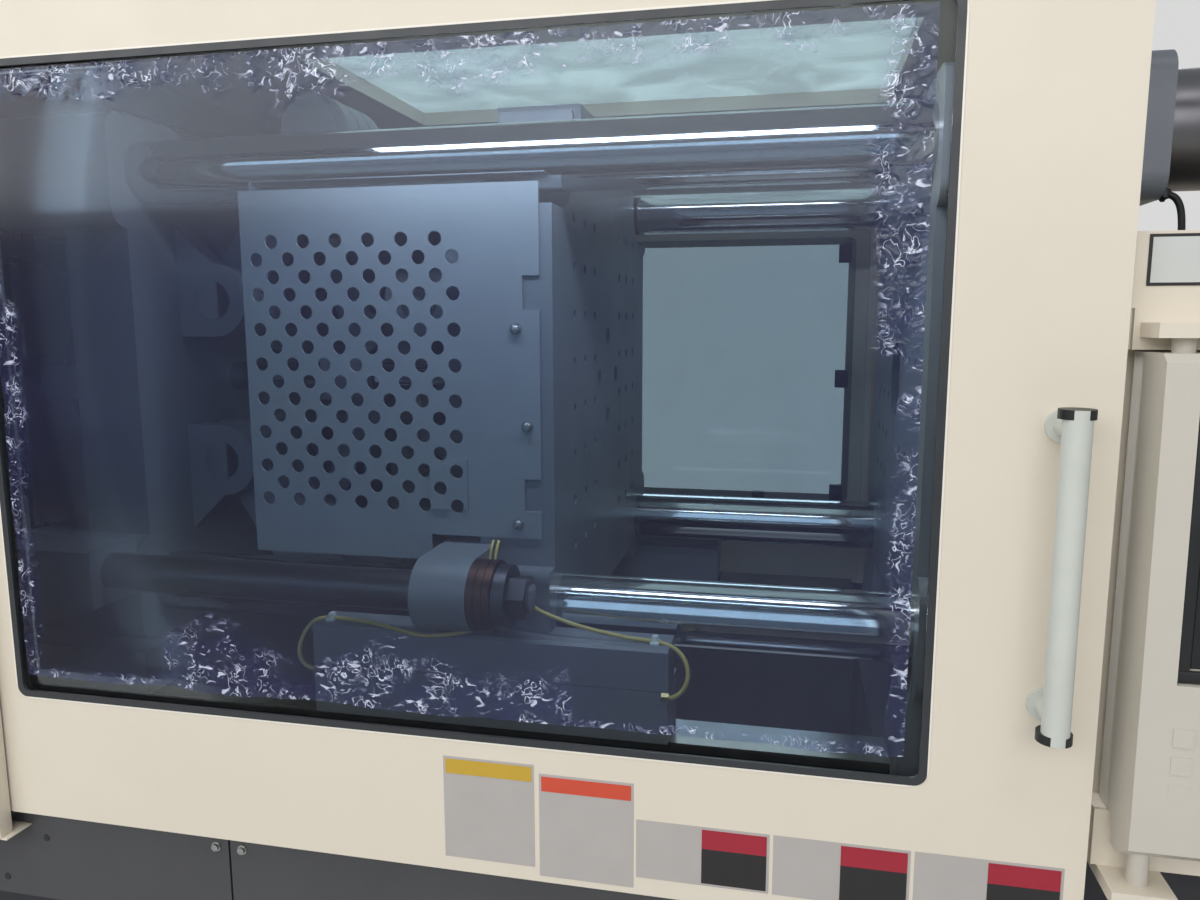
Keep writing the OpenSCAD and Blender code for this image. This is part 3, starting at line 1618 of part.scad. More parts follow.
// Hopper on the feed housing, with its foot and round cone
hopper_x = throat_x;
hopper_z0 = gate_z + 12;
cone_h = 230;
module hopper() {
  foot_w = 140;
  sheet_t = 3;
  r = hopper_w / 2;
  neck_r = 34;
  top = hopper_z0 + 20 + cone_h + hopper_h;
  color("#C9CDD0") {
    difference() {
      union() {
        box(hopper_x - foot_w / 2, hopper_x + foot_w / 2, -foot_w / 2, foot_w / 2, plate_z1, gate_z - 1);
        box(hopper_x - foot_w / 2, hopper_x + foot_w / 2, -foot_w / 2, foot_w / 2, gate_z + 9, hopper_z0 + 6);
        for (s = [-1, 1])
          box(hopper_x - foot_w / 2, hopper_x + foot_w / 2, s * (foot_w / 2 - 8) - 8, s * (foot_w / 2 - 8) + 8,
              gate_z - 2, gate_z + 10);
      }
      bar_z(plate_z1 - cut, hopper_z0 + 10, hopper_x, 0, throat_d);
      box(hopper_x - foot_w, hopper_x + foot_w, -foot_w / 2 + 16, foot_w / 2 - 16, gate_z - 1, gate_z + 9);
    }
    translate([hopper_x, 0, 0])
      rotate_extrude($fn = 72)
        polygon([
          [neck_r, hopper_z0 + 6], [neck_r + 20, hopper_z0 + 6], [neck_r + 20, hopper_z0 + 14],
          [neck_r + sheet_t, hopper_z0 + 14], [neck_r + sheet_t, hopper_z0 + 20],
          [r, hopper_z0 + 20 + cone_h], [r, top - 8], [r + 8, top - 8], [r + 8, top],
          [r - sheet_t, top], [r - sheet_t, hopper_z0 + 20 + cone_h], [neck_r, hopper_z0 + 22]
        ]);
    for (x = [hopper_x - 35, hopper_x + 27]) {
      box(x, x + 8, r, lid_hinge_y, top - 8, top);
      box(x, x + 8, r + 9, lid_hinge_y + 6, top - 8, lid_z + 12);
    }
    bar_x(hopper_x - 35, hopper_x + 35, lid_hinge_y, lid_z + 6, lid_pin_d);
  }
}

// Hinged lid of the hopper
lid_z = hopper_z0 + 20 + cone_h + hopper_h + run_gap;
lid_hinge_y = hopper_w / 2 + 26;
lid_pin_d = 6;
module hopper_lid() {
  r = hopper_w / 2 + 8;
  z = lid_z;
  color("#C9CDD0") {
    translate([hopper_x, 0, z])
      rotate_extrude($fn = 72)
        polygon([[0, 0], [r, 0], [r, 3], [r - 20, 3], [r - 30, 18], [0, 22]]);
    bar_y(-10, 10, hopper_x - r + 26, z + 30, 30);
    difference() {
      union() {
        box(hopper_x - 26, hopper_x + 26, r - 6, lid_hinge_y, z, z + 3);
        bar_x(hopper_x - 26, hopper_x + 26, lid_hinge_y, z + 6, 12);
      }
      bar_x(hopper_x - 27, hopper_x + 27, lid_hinge_y, z + 6, lid_pin_d + 2 * pin_gap);
    }
  }
}

// Slide gate that shuts the hopper's outlet
module hopper_gate() {
  w = 54;
  color(steel) {
    box(hopper_x - 78, hopper_x + 160, -w + pin_gap, w - pin_gap, gate_z - 1 + pin_gap, gate_z + 9 - pin_gap);
    bar_z(gate_z - 14, gate_z + 30, hopper_x + 146, 0, 18);
  }
}

// Operator panel: housing with a slanted lower desk, screen recess and key field
panel_x0 = frame_x0 + 12;
panel_z0 = 744;
panel_front = frame_y1 + 63;
panel_back = panel_front - panel_d;
swivel_x = panel_x0 + 24;
module operator_panel() {
  z1 = panel_z0 + panel_h;
  bezel = 30;
  screen_z0 = panel_z0 + 190;
  key = 18;
  color(pale_grey)
    difference() {
      along_x(panel_x0, panel_x0 + panel_w)
        polygon([
          [-frame_y1 - 14, panel_z0], [-panel_front + 30, panel_z0], [-panel_front, panel_z0 + 20],
          [-panel_front, panel_z0 + 60], [-panel_front + 8, z1 - 10], [-panel_front + 18, z1 - 2],
          [-panel_back, z1 - 2], [-panel_back, panel_z0 + 30], [-frame_y1 - 14, panel_z0 + 30]
        ]);
      box(panel_x0 + bezel, panel_x0 + panel_w - bezel, -panel_front - cut, -panel_front + 16, screen_z0, z1 - bezel);
      bar_y(-panel_front - cut, -panel_front + 12, stop_x, stop_at_z, stop_stem_d + 2 * pin_gap);
    }
  color(black)
    box(panel_x0 + bezel, panel_x0 + panel_w - bezel, -panel_front + 14, -panel_front + 16, screen_z0, z1 - bezel);
  color(pale_grey)
    for (k = [0 : 9], row = [0 : 2])
      box(panel_x0 + bezel + k * 30, panel_x0 + bezel + key + k * 30, -panel_front, -panel_front + 14,
          panel_z0 + 74 + row * 28, panel_z0 + 74 + key + row * 28);
  color(black)
    bar_z(lever_z, panel_z0 + cut, swivel_x, -swivel_y, swivel_d);
  color(black)
    bar_z(z1 - 3, z1 + 25, swivel_x, -swivel_y, swivel_d);
}

// Mushroom button that stops the machine
stop_x = panel_x0 + panel_w - 42;
stop_at_z = panel_z0 + 34;
stop_stroke = 4;
stop_stem_d = 16;
module stop_button() {
  color("#B02020")
    translate([stop_x, -panel_front - 1, stop_at_z])
      rotate([90, 0, 0])
        rotate_extrude()
          polygon([[0, -8], [stop_stem_d / 2, -8], [stop_stem_d / 2, stop_stroke + 1], [16, stop_stroke + 1], [17, 8], [14, 13], [8, 15], [0, 15.5]]);
}

// Lever that clamps the panel's swivel
lever_z = 690;
module clamp_lever() {
  color(black) {
    bar_z(lever_z - 26, lever_z - run_gap, swivel_x, -swivel_y, 36);
    hull() {
      translate([swivel_x + 10, -swivel_y, lever_z - 14])
        sphere(d = 18, $fn = 20);
      translate([swivel_x + 84, -swivel_y - 20, lever_z - 26])
        sphere(d = 16, $fn = 20);
    }
  }
}

cabinet_door_t = 22;

// Steel cabinet with the drives, open to the operator's side
module control_cabinet() {
  x0 = cabinet_x0;
  skin = 5;
  y0 = -base_half;
  z0 = 2 * pad_h;
  color(cream) {
    difference() {
      box(x0, half_len, y0, cabinet_y, z0, cabinet_top);
      for (k = [0, 1])
        box(x0 + skin + k * (half_len - x0) / 2, x0 + (k + 1) * (half_len - x0) / 2 - skin, y0 - cut,
            cabinet_y - skin, z0 + 30, cabinet_top - skin);
    }
  }
  color(black)
    for (x = [x0 + 8, half_len - 8], z = hinge_zs)
      for (e = [z - hinge_leaf - run_gap, z + hinge_leaf + run_gap])
        door_knuckle(x, x < half_len - 100 ? x0 : half_len - 8, e);
  color(pale_grey)
    for (k = [0, 1])
      for (j = [0 : 3])
        box(x0 + 90 + k * (half_len - x0) / 2 + j * 215, x0 + 250 + k * (half_len - x0) / 2 + j * 215,
            cabinet_y - skin - 180, cabinet_y - skin, z0 + 240, z0 + 620);
}

// Hinge knuckles of the cabinet doors and the leaf that holds each
hinge_leaf = 26;
hinge_zs = [2 * pad_h + 120, cabinet_top - 160];
hinge_axis_y = -base_half - cabinet_door_t - 8;
module door_knuckle(x, leaf_x, z) {
  bar_z(z, z + hinge_leaf, x, hinge_axis_y, 16);
  box(leaf_x, leaf_x + 8, hinge_axis_y, -base_half, z, z + hinge_leaf);
}

// One cabinet door with vent slots, hinge barrels and a turn knob
module cabinet_door(x0, x1, hinge_left) {
  y0 = -base_half - cabinet_door_t;
  y1 = -base_half - run_gap;
  z0 = 2 * pad_h + 20;
  z1 = cabinet_top - 12;
  into = hinge_left ? 1 : -1;
  hinge_x = hinge_left ? x0 : x1;
  knob_x = hinge_left ? x1 - 40 : x0 + 40;
  color(cream)
    difference() {
      box(x0, x1, y0, y1, z0, z1);
      box(x0 + sheet, x1 - sheet, y0 + sheet, y1 + cut, z0 + sheet, z1 - sheet);
      for (z = [z0 + 70 : 22 : z0 + 180])
        box((x0 + x1) / 2 - 130, (x0 + x1) / 2 + 130, y0 - cut, y0 + sheet + cut, z, z + 8);
    }
  color(black) {
    bar_y(y0 - 24, y0, knob_x, (z0 + z1) / 2, 36);
    for (z = hinge_zs) {
      bar_z(z, z + hinge_leaf, hinge_x, hinge_axis_y, 16);
      box(min(hinge_x, hinge_x + 30 * into), max(hinge_x, hinge_x + 30 * into), hinge_axis_y, y0, z, z + hinge_leaf);
    }
  }
}

module left_cabinet_door() {
  cabinet_door(cabinet_x0 + 8, (cabinet_x0 + half_len) / 2 - 2, true);
}

module right_cabinet_door() {
  cabinet_door((cabinet_x0 + half_len) / 2 + 2, half_len - 8, false);
}

// Rods fixed in the tailstock: the crosshead's guides and the rear links' pins
module tail_rods() {
  guide_rods();
  rear_pins();
}

clamp_base();
injection_base();
levelling_pads();
base_panels();
platen_rails();
fixed_platen();
moving_platen();
tailstock();
tie_bars();
tie_bar_nuts();
height_sprockets();
upper_rear_links();
lower_rear_links();
upper_front_links();
lower_front_links();
upper_short_links();
lower_short_links();
crosshead();
tail_rods();
front_pins();
drive_pulley();
clamp_motor();
clamp_belt();
ejector_plate();
ejector_drive();
side_guard();
stopper_rod();
stopper_rings();
stopper_pawl();
slide_shoes();
grease_tubes();
front_door();
front_window();
front_gasket();
window_film();
front_handle();
rear_door();
rear_window();
guard_frame();
roof_cover();
roof_window();
left_covers();
right_frame();
operator_panel();
stop_button();
clamp_lever();
control_cabinet();
left_cabinet_door();
right_cabinet_door();
carriage();
barrel();
injection_screw();
pusher_plate();
front_ball_screw();
rear_ball_screw();
injection_cover();
purge_guard();
hopper();
hopper_lid();
hopper_gate();
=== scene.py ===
"""Looks of an injection moulding machine: finishes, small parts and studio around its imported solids."""

import enum
import logging
import math
from dataclasses import dataclass, field
from typing import Iterable

import bmesh
import bpy
from mathutils import Matrix, Vector, noise


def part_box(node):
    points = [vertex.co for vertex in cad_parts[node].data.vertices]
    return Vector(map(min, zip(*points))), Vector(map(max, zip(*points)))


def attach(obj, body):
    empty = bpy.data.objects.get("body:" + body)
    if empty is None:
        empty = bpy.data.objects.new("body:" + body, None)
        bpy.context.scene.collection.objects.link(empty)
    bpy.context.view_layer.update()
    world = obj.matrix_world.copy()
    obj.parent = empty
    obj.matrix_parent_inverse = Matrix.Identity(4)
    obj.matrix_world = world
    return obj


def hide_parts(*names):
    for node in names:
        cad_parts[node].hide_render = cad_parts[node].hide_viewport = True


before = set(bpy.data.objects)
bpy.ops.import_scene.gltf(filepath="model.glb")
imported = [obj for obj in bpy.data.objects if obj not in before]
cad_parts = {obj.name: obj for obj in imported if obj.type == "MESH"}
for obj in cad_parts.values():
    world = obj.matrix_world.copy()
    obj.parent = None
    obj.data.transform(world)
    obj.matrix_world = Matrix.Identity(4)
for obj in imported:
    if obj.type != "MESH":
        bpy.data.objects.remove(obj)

LOG = logging.getLogger("moulding_machine")
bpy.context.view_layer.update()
MM = 0.001
LOUVRE_PITCH = 22.0
SMOOTH_BELOW = math.radians(32)
BEVEL_ABOVE = math.radians(40)
UPRIGHT = Matrix.Rotation(math.radians(90), 4, "X")
# Tone of everything behind the machine: the backdrop and the far floor.
BACKDROP = "#D8D9D8"
# Sockets of the Mix node in its colour mode.
COLOUR_A, COLOUR_B, COLOUR_OUT = 6, 7, 2

Tree = bpy.types.NodeTree
Socket = bpy.types.NodeSocket
Shape = bmesh.types.BMesh


def linear(code: str) -> tuple[float, float, float, float]:
    """Turns an sRGB hex value into Blender's linear colour.

    Args:
        code: Colour as "#RRGGBB".

    Returns:
        Linear red, green and blue, and an alpha of 1.
    """
    parts = [int(code[k:k + 2], 16) / 255 for k in (1, 3, 5)]
    red, green, blue = (c / 12.92 if c <= 0.04045 else ((c + 0.055) / 1.055) ** 2.4 for c in parts)
    return red, green, blue, 1.0


def add_node(tree: Tree, kind: str, inputs: dict | None = None, **settings: object) -> bpy.types.Node:
    """Adds a shader node, sets it up and links it.

    Args:
        tree: Node tree of the material.
        kind: Blender's name of the node type.
        inputs: By the input's name or number: a value, an output socket, or a node for its first output.
        **settings: Properties of the node itself.

    Returns:
        The new node.
    """
    node = tree.nodes.new(kind)
    for key, value in settings.items():
        setattr(node, key, value)
    for key, value in (inputs or {}).items():
        if isinstance(value, (Socket, bpy.types.Node)):
            tree.links.new(value if isinstance(value, Socket) else value.outputs[0], node.inputs[key])
        else:
            node.inputs[key].default_value = value
    return node


class Grain(enum.Enum):
    """Direction in which a metal was ground, drawn or brushed, as a stretch of its pattern per axis."""

    ALONG_X = (0.02, 1.0, 1.0)
    ALONG_Y = (1.0, 0.02, 1.0)
    ALONG_Z = (1.0, 1.0, 0.02)
    TURNED = (1.0, 0.06, 0.06)
    NONE = (1.0, 1.0, 1.0)


@dataclass(frozen=True)
class Finish:
    """A surface finish; each kind of finish draws its own nodes."""

    name: str

    def build(self) -> bpy.types.Material:
        """Makes the material and returns it."""
        material = bpy.data.materials.new(self.name)
        material.use_nodes = True
        tree = material.node_tree
        tree.nodes.clear()
        coords = add_node(tree, "ShaderNodeTexCoord").outputs["Object"]
        add_node(tree, "ShaderNodeOutputMaterial", {"Surface": self.surface(tree, coords)})
        return material

    def surface(self, tree: Tree, coords: Socket) -> Socket:
        """Draws the shader; each kind of finish has its own.

        Args:
            tree: Node tree to fill.
            coords: Object coordinates.

        Returns:
            The shader's output socket.
        """
        raise NotImplementedError


@dataclass(frozen=True)
class Paint(Finish):
    """Paint sprayed on steel or cast iron: a slightly uneven film with orange peel and patches of dulling dust."""

    colour: str
    roughness: float = 0.4
    peel_mm: float = 1.6
    peel_depth_mm: float = 0.06
    cast_mm: float = 0.0
    cast_depth_mm: float = 0.3
    shade: float = 0.06
    patch_mm: float = 140.0

    def surface(self, tree: Tree, coords: Socket) -> Socket:
        """Draws the paint.

        Args:
            tree: Node tree to fill.
            coords: Object coordinates.

        Returns:
            The shader's output socket.
        """
        # Patches of handling dust and uneven film, about a hand wide.
        patches = add_node(tree, "ShaderNodeTexNoise", {
            "Vector": coords, "Scale": 1 / (self.patch_mm * MM), "Detail": 5.0, "Roughness": 0.6})
        share = add_node(tree, "ShaderNodeMapRange", {
            "Value": patches, "From Min": 0.3, "From Max": 0.7, "To Min": 0.0, "To Max": 1.0})
        base = linear(self.colour)
        dull = tuple(c * (1 - self.shade) for c in base[:3]) + (1.0,)
        tone = add_node(tree, "ShaderNodeMix", {0: share, COLOUR_A: base, COLOUR_B: dull}, data_type="RGBA")
        gloss = add_node(tree, "ShaderNodeMapRange", {
            "Value": patches, "From Min": 0.3, "From Max": 0.7,
            "To Min": self.roughness - 0.05, "To Max": self.roughness + 0.08})
        peel = add_node(tree, "ShaderNodeTexNoise", {
            "Vector": coords, "Scale": 1 / (self.peel_mm * MM), "Detail": 1.0})
        bump = add_node(tree, "ShaderNodeBump", {
            "Height": peel, "Strength": 0.6, "Distance": self.peel_depth_mm * MM})
        if self.cast_mm:
            # Sand-cast skin under the paint: soft pits and lumps a few millimetres wide.
            skin = add_node(tree, "ShaderNodeTexNoise", {
                "Vector": coords, "Scale": 1 / (self.cast_mm * MM), "Detail": 3.0, "Roughness": 0.55})
            bump = add_node(tree, "ShaderNodeBump", {
                "Height": skin, "Strength": 0.8, "Distance": self.cast_depth_mm * MM, "Normal": bump})
        shader = add_node(tree, "ShaderNodeBsdfPrincipled", {
            "Base Color": tone.outputs[COLOUR_OUT], "Roughness": gloss, "IOR": 1.5, "Normal": bump})
        return shader.outputs["BSDF"]


@dataclass(frozen=True)
class Metal(Finish):
    """Bare or plated metal with the fine lines of its last machining and a thin uneven film of oil."""

    colour: str
    roughness: float
    grain: Grain = Grain.NONE
    line_mm: float = 0.8
    line_depth_mm: float = 0.01
    stain: float = 0.12
    oil_mm: float = 60.0

    def surface(self, tree: Tree, coords: Socket) -> Socket:
        """Draws the metal.

        Args:
            tree: Node tree to fill.
            coords: Object coordinates.

        Returns:
            The shader's output socket.
        """
        # Grinding lines are far finer in truth; line_mm is as coarse as the render can show.
        stretched = add_node(tree, "ShaderNodeMapping", {"Vector": coords, "Scale": self.grain.value})
        lines = add_node(tree, "ShaderNodeTexNoise", {
            "Vector": stretched, "Scale": 1 / (self.line_mm * MM), "Detail": 3.0, "Roughness": 0.6})
        oil = add_node(tree, "ShaderNodeTexNoise", {
            "Vector": coords, "Scale": 1 / (self.oil_mm * MM), "Detail": 4.0})
        mixed = add_node(tree, "ShaderNodeMath", {0: lines, 1: oil}, operation="ADD")
        gloss = add_node(tree, "ShaderNodeMapRange", {
            "Value": mixed, "From Min": 0.7, "From Max": 1.3,
            "To Min": self.roughness * 0.8, "To Max": self.roughness * 1.25})
        base = linear(self.colour)
        stained = tuple(c * (1 - self.stain) for c in base[:3]) + (1.0,)
        tone = add_node(tree, "ShaderNodeMix", {0: oil, COLOUR_A: base, COLOUR_B: stained}, data_type="RGBA")
        bump = add_node(tree, "ShaderNodeBump", {
            "Height": lines, "Strength": 0.5, "Distance": self.line_depth_mm * MM})
        shader = add_node(tree, "ShaderNodeBsdfPrincipled", {
            "Base Color": tone.outputs[COLOUR_OUT], "Metallic": 1.0, "Roughness": gloss, "Normal": bump})
        return shader.outputs["BSDF"]


@dataclass(frozen=True)
class Plastic(Finish):
    """Moulded plastic or rubber with a spark-eroded grain, or printed vinyl where the grain is nearly nil."""

    colour: str
    roughness: float = 0.45
    grain_mm: float = 0.9
    grain_depth_mm: float = 0.03
    wear_mm: float = 35.0

    def surface(self, tree: Tree, coords: Socket) -> Socket:
        """Draws the plastic.

        Args:
            tree: Node tree to fill.
            coords: Object coordinates.

        Returns:
            The shader's output socket.
        """
        grain = add_node(tree, "ShaderNodeTexNoise", {
            "Vector": coords, "Scale": 1 / (self.grain_mm * MM), "Detail": 2.0})
        wear = add_node(tree, "ShaderNodeTexNoise", {
            "Vector": coords, "Scale": 1 / (self.wear_mm * MM), "Detail": 4.0})
        base = linear(self.colour)
        worn = tuple(min(1.0, c * 1.12 + 0.004) for c in base[:3]) + (1.0,)
        tone = add_node(tree, "ShaderNodeMix", {0: wear, COLOUR_A: base, COLOUR_B: worn}, data_type="RGBA")
        gloss = add_node(tree, "ShaderNodeMapRange", {
            "Value": wear, "From Min": 0.35, "From Max": 0.65,
            "To Min": self.roughness - 0.04, "To Max": self.roughness + 0.06})
        bump = add_node(tree, "ShaderNodeBump", {
            "Height": grain, "Strength": 0.5, "Distance": self.grain_depth_mm * MM})
        shader = add_node(tree, "ShaderNodeBsdfPrincipled", {
            "Base Color": tone.outputs[COLOUR_OUT], "Roughness": gloss, "IOR": 1.5, "Normal": bump})
        return shader.outputs["BSDF"]


@dataclass(frozen=True)
class ClearSheet(Finish):
    """Extruded polycarbonate sheet: lets tinted light through, and mirrors more at a flat angle."""

    passes: str
    haze: float = 0.02
    mirror: float = 0.7
    roughness: float = 0.05
    body: str = "#8A96A0"
    wave_mm: float = 150.0
    smear_mm: float = 45.0

    def surface(self, tree: Tree, coords: Socket) -> Socket:
        """Draws the sheet.

        Args:
            tree: Node tree to fill.
            coords: Object coordinates.

        Returns:
            The shader's output socket.
        """
        # Rolling waves of an extruded sheet and faint wiping marks.
        wave = add_node(tree, "ShaderNodeTexNoise", {
            "Vector": coords, "Scale": 1 / (self.wave_mm * MM), "Detail": 1.0})
        bump = add_node(tree, "ShaderNodeBump", {"Height": wave, "Strength": 0.1, "Distance": 1.5 * MM})
        smear = add_node(tree, "ShaderNodeTexNoise", {
            "Vector": coords, "Scale": 1 / (self.smear_mm * MM), "Detail": 5.0})
        marks = add_node(tree, "ShaderNodeMapRange", {
            "Value": smear, "From Min": 0.45, "From Max": 0.8,
            "To Min": self.haze, "To Max": self.haze + 0.03})
        clear = add_node(tree, "ShaderNodeBsdfTransparent", {"Color": linear(self.passes)})
        gloss = add_node(tree, "ShaderNodeBsdfPrincipled", {
            "Base Color": linear(self.body), "Roughness": self.roughness, "IOR": 1.58, "Normal": bump})
        sheet = add_node(tree, "ShaderNodeMixShader", {0: marks, 1: clear, 2: gloss})
        rim = add_node(tree, "ShaderNodeFresnel", {"IOR": 1.5})
        share = add_node(tree, "ShaderNodeMath", {0: rim, 1: self.mirror}, operation="MULTIPLY")
        shine = add_node(tree, "ShaderNodeBsdfGlossy", {"Roughness": self.roughness, "Normal": bump})
        return add_node(tree, "ShaderNodeMixShader", {0: share, 1: sheet, 2: shine}).outputs[0]


@dataclass(frozen=True)
class Film(Finish):
    """Blue masking film on a window: a thin tint that lifts in creases and blisters where its glue let go, with pale
    painted highlights along the creases.
    """

    passes: str = "#D4E2EE"
    veil: str = "#3C3C94"
    # Pale colour of the painted highlights along the creases.
    crease_highlight: str = "#EAF2FF"
    face_veil: float = 0.062
    crease_mm: float = 17.0
    break_mm: float = 34.0
    tick_mm: float = 8.0
    cloud_mm: float = 260.0

    def surface(self, tree: Tree, coords: Socket) -> Socket:
        """Draws the film.

        Args:
            tree: Node tree to fill.
            coords: Object coordinates.

        Returns:
            The shader's output socket.
        """
        # The attribute holds how far the film has lifted at a point, from 0 on the pane to 1 in a blister.
        lift = add_node(tree, "ShaderNodeAttribute", attribute_name="lift", attribute_type="GEOMETRY").outputs["Fac"]
        warp = add_node(tree, "ShaderNodeTexNoise", {
            "Vector": coords, "Scale": 1 / (self.crease_mm * MM), "Detail": 2.0, "Distortion": 1.6})
        ridge = add_node(tree, "ShaderNodeMath", {0: warp, 1: 0.5}, operation="SUBTRACT")
        depth = add_node(tree, "ShaderNodeMath", {0: ridge}, operation="ABSOLUTE")
        line = add_node(tree, "ShaderNodeMapRange", {
            "Value": depth, "From Min": 0.0, "From Max": 0.04, "To Min": 1.0, "To Max": 0.0})
        breaks = add_node(tree, "ShaderNodeTexNoise", {
            "Vector": coords, "Scale": 1 / (self.break_mm * MM), "Detail": 3.0})
        gaps = add_node(tree, "ShaderNodeMapRange", {
            "Value": breaks, "From Min": 0.44, "From Max": 0.58, "To Min": 0.0, "To Max": 1.0})
        ribbons = add_node(tree, "ShaderNodeMath", {0: line, 1: gaps}, operation="MULTIPLY")
        # Between the ribbons lie short ticks, a few millimetres high and twice as wide.
        flat = add_node(tree, "ShaderNodeMapping", {"Vector": coords, "Scale": (0.5, 1.0, 1.0)})
        small = add_node(tree, "ShaderNodeTexNoise", {
            "Vector": flat, "Scale": 1 / (self.tick_mm * MM), "Detail": 1.0, "Distortion": 0.8})
        peaks = add_node(tree, "ShaderNodeMapRange", {
            "Value": small, "From Min": 0.62, "From Max": 0.72, "To Min": 0.0, "To Max": 0.8})
        strokes = add_node(tree, "ShaderNodeMath", {0: ribbons, 1: peaks}, operation="MAXIMUM")
        raised = add_node(tree, "ShaderNodeMapRange", {
            "Value": lift, "From Min": 0.1, "From Max": 0.55, "To Min": 0.0, "To Max": 1.0})
        # Where the film has lifted, the strokes are painted pale and more opaque: painted highlights of the creases.
        crease_highlights = add_node(tree, "ShaderNodeMath", {0: strokes, 1: raised}, operation="MULTIPLY")
        cloud = add_node(tree, "ShaderNodeTexNoise", {
            "Vector": coords, "Scale": 1 / (self.cloud_mm * MM), "Detail": 3.0})
        haze = add_node(tree, "ShaderNodeMapRange", {
            "Value": cloud, "From Min": 0.3, "From Max": 0.75, "To Min": -0.03, "To Max": 0.04})
        veil = add_node(tree, "ShaderNodeMath", {0: haze, 1: self.face_veil}, operation="ADD")
        lifted = add_node(tree, "ShaderNodeMath", {0: lift, 1: 0.10, 2: veil}, operation="MULTIPLY_ADD")
        cover = add_node(tree, "ShaderNodeMath", {
            0: crease_highlights, 1: 0.85, 2: lifted}, operation="MULTIPLY_ADD", use_clamp=True)
        tone = add_node(tree, "ShaderNodeMix", {
            0: crease_highlights, COLOUR_A: linear(self.veil), COLOUR_B: linear(self.crease_highlight)}, data_type="RGBA")
        crumple = add_node(tree, "ShaderNodeMath", {
            0: lift, 1: 0.9, 2: 0.02}, operation="MULTIPLY_ADD", use_clamp=True)
        bump = add_node(tree, "ShaderNodeBump", {"Height": warp, "Strength": crumple, "Distance": 3.5 * MM})
        shader = add_node(tree, "ShaderNodeBsdfPrincipled", {
            "Base Color": tone.outputs[COLOUR_OUT], "Roughness": 0.14, "IOR": 1.5, "Normal": bump})
        clear = add_node(tree, "ShaderNodeBsdfTransparent", {"Color": linear(self.passes)})
        sheet = add_node(tree, "ShaderNodeMixShader", {0: cover, 1: clear, 2: shader})
        rim = add_node(tree, "ShaderNodeFresnel", {"IOR": 1.44})
        shine = add_node(tree, "ShaderNodeBsdfGlossy", {"Roughness": 0.16, "Normal": bump})
        return add_node(tree, "ShaderNodeMixShader", {0: rim, 1: sheet, 2: shine}).outputs[0]


@dataclass(frozen=True)
class RingStack(Finish):
    """Bronze rings with the black washer and nut behind them, told apart by their place along the machine."""

    ring: Metal
    nut: Metal
    seam_x: float

    def surface(self, tree: Tree, coords: Socket) -> Socket:
        """Draws both metals and the seam between them.

        Args:
            tree: Node tree to fill.
            coords: Object coordinates.

        Returns:
            The shader's output socket.
        """
        place = add_node(tree, "ShaderNodeSeparateXYZ", {"Vector": coords})
        past = add_node(tree, "ShaderNodeMath", {
            0: place.outputs["X"], 1: self.seam_x * MM}, operation="GREATER_THAN")
        return add_node(tree, "ShaderNodeMixShader", {
            0: past, 1: self.ring.surface(tree, coords), 2: self.nut.surface(tree, coords)}).outputs[0]


@dataclass(frozen=True)
class MaskedPane(Finish):
    """Clear pane under a crumpled sheet of pale masking paper, which glows with the light that it lets through."""

    paper: str = "#C9CFC8"
    glow: float = 0.7
    fold_mm: float = 110.0
    fold_depth_mm: float = 30.0

    def surface(self, tree: Tree, coords: Socket) -> Socket:
        """Draws the pane and its paper.

        Args:
            tree: Node tree to fill.
            coords: Object coordinates.

        Returns:
            The shader's output socket.
        """
        # Crumples of the paper, about a hand wide, with sharp folds between them.
        folds = add_node(tree, "ShaderNodeTexNoise", {
            "Vector": coords, "Scale": 1 / (self.fold_mm * MM), "Detail": 4.0, "Roughness": 0.45, "Distortion": 0.8})
        bump = add_node(tree, "ShaderNodeBump", {
            "Height": folds, "Strength": 1.0, "Distance": self.fold_depth_mm * MM})
        share = add_node(tree, "ShaderNodeMapRange", {
            "Value": folds, "From Min": 0.35, "From Max": 0.65,
            "To Min": self.glow - 0.1, "To Max": self.glow + 0.1})
        face = add_node(tree, "ShaderNodeBsdfPrincipled", {
            "Base Color": linear(self.paper), "Roughness": 0.5, "Normal": bump})
        through = add_node(tree, "ShaderNodeBsdfTranslucent", {"Color": linear(self.paper), "Normal": bump})
        return add_node(tree, "ShaderNodeMixShader", {0: share, 1: face, 2: through}).outputs[0]


def seen_by_camera(tree: Tree) -> Socket:
    """Tells the rays that the camera sees, straight or through a pane, from the rays that only carry light.

    Args:
        tree: Node tree to add to.

    Returns:
        Socket that is 1 for the seen rays and 0 for the others.
    """
    path = add_node(tree, "ShaderNodeLightPath")
    return add_node(tree, "ShaderNodeMath", {
        0: path.outputs["Is Camera Ray"], 1: path.outputs["Is Transmission Ray"]}, operation="MAXIMUM").outputs[0]


@dataclass(frozen=True)
class SweptFloor(Finish):
    """Sealed floor that turns into the pale backdrop a few metres away from the machine, where its shadow ends."""

    paint: Paint
    half_x: float = 3.3
    half_y: float = 1.5
    fade_from: float = 1.1
    fade_to: float = 2.6

    def surface(self, tree: Tree, coords: Socket) -> Socket:
        """Draws the floor's paint and the backdrop's tone that takes over from it.

        Args:
            tree: Node tree to fill.
            coords: Object coordinates.

        Returns:
            The shader's output socket.
        """
        near = self.paint.surface(tree, coords)
        oval = add_node(tree, "ShaderNodeMapping", {
            "Vector": coords, "Scale": (1 / self.half_x, 1 / self.half_y, 0.0)})
        away = add_node(tree, "ShaderNodeVectorMath", {0: oval}, operation="LENGTH")
        share = add_node(tree, "ShaderNodeMapRange", {
            "Value": away.outputs["Value"], "From Min": self.fade_from, "From Max": self.fade_to},
            interpolation_type="SMOOTHSTEP")
        fade = add_node(tree, "ShaderNodeMath", {0: share, 1: seen_by_camera(tree)}, operation="MULTIPLY")
        glow = add_node(tree, "ShaderNodeEmission", {"Color": linear(BACKDROP), "Strength": 1.0})
        return add_node(tree, "ShaderNodeMixShader", {0: fade, 1: near, 2: glow}).outputs[0]


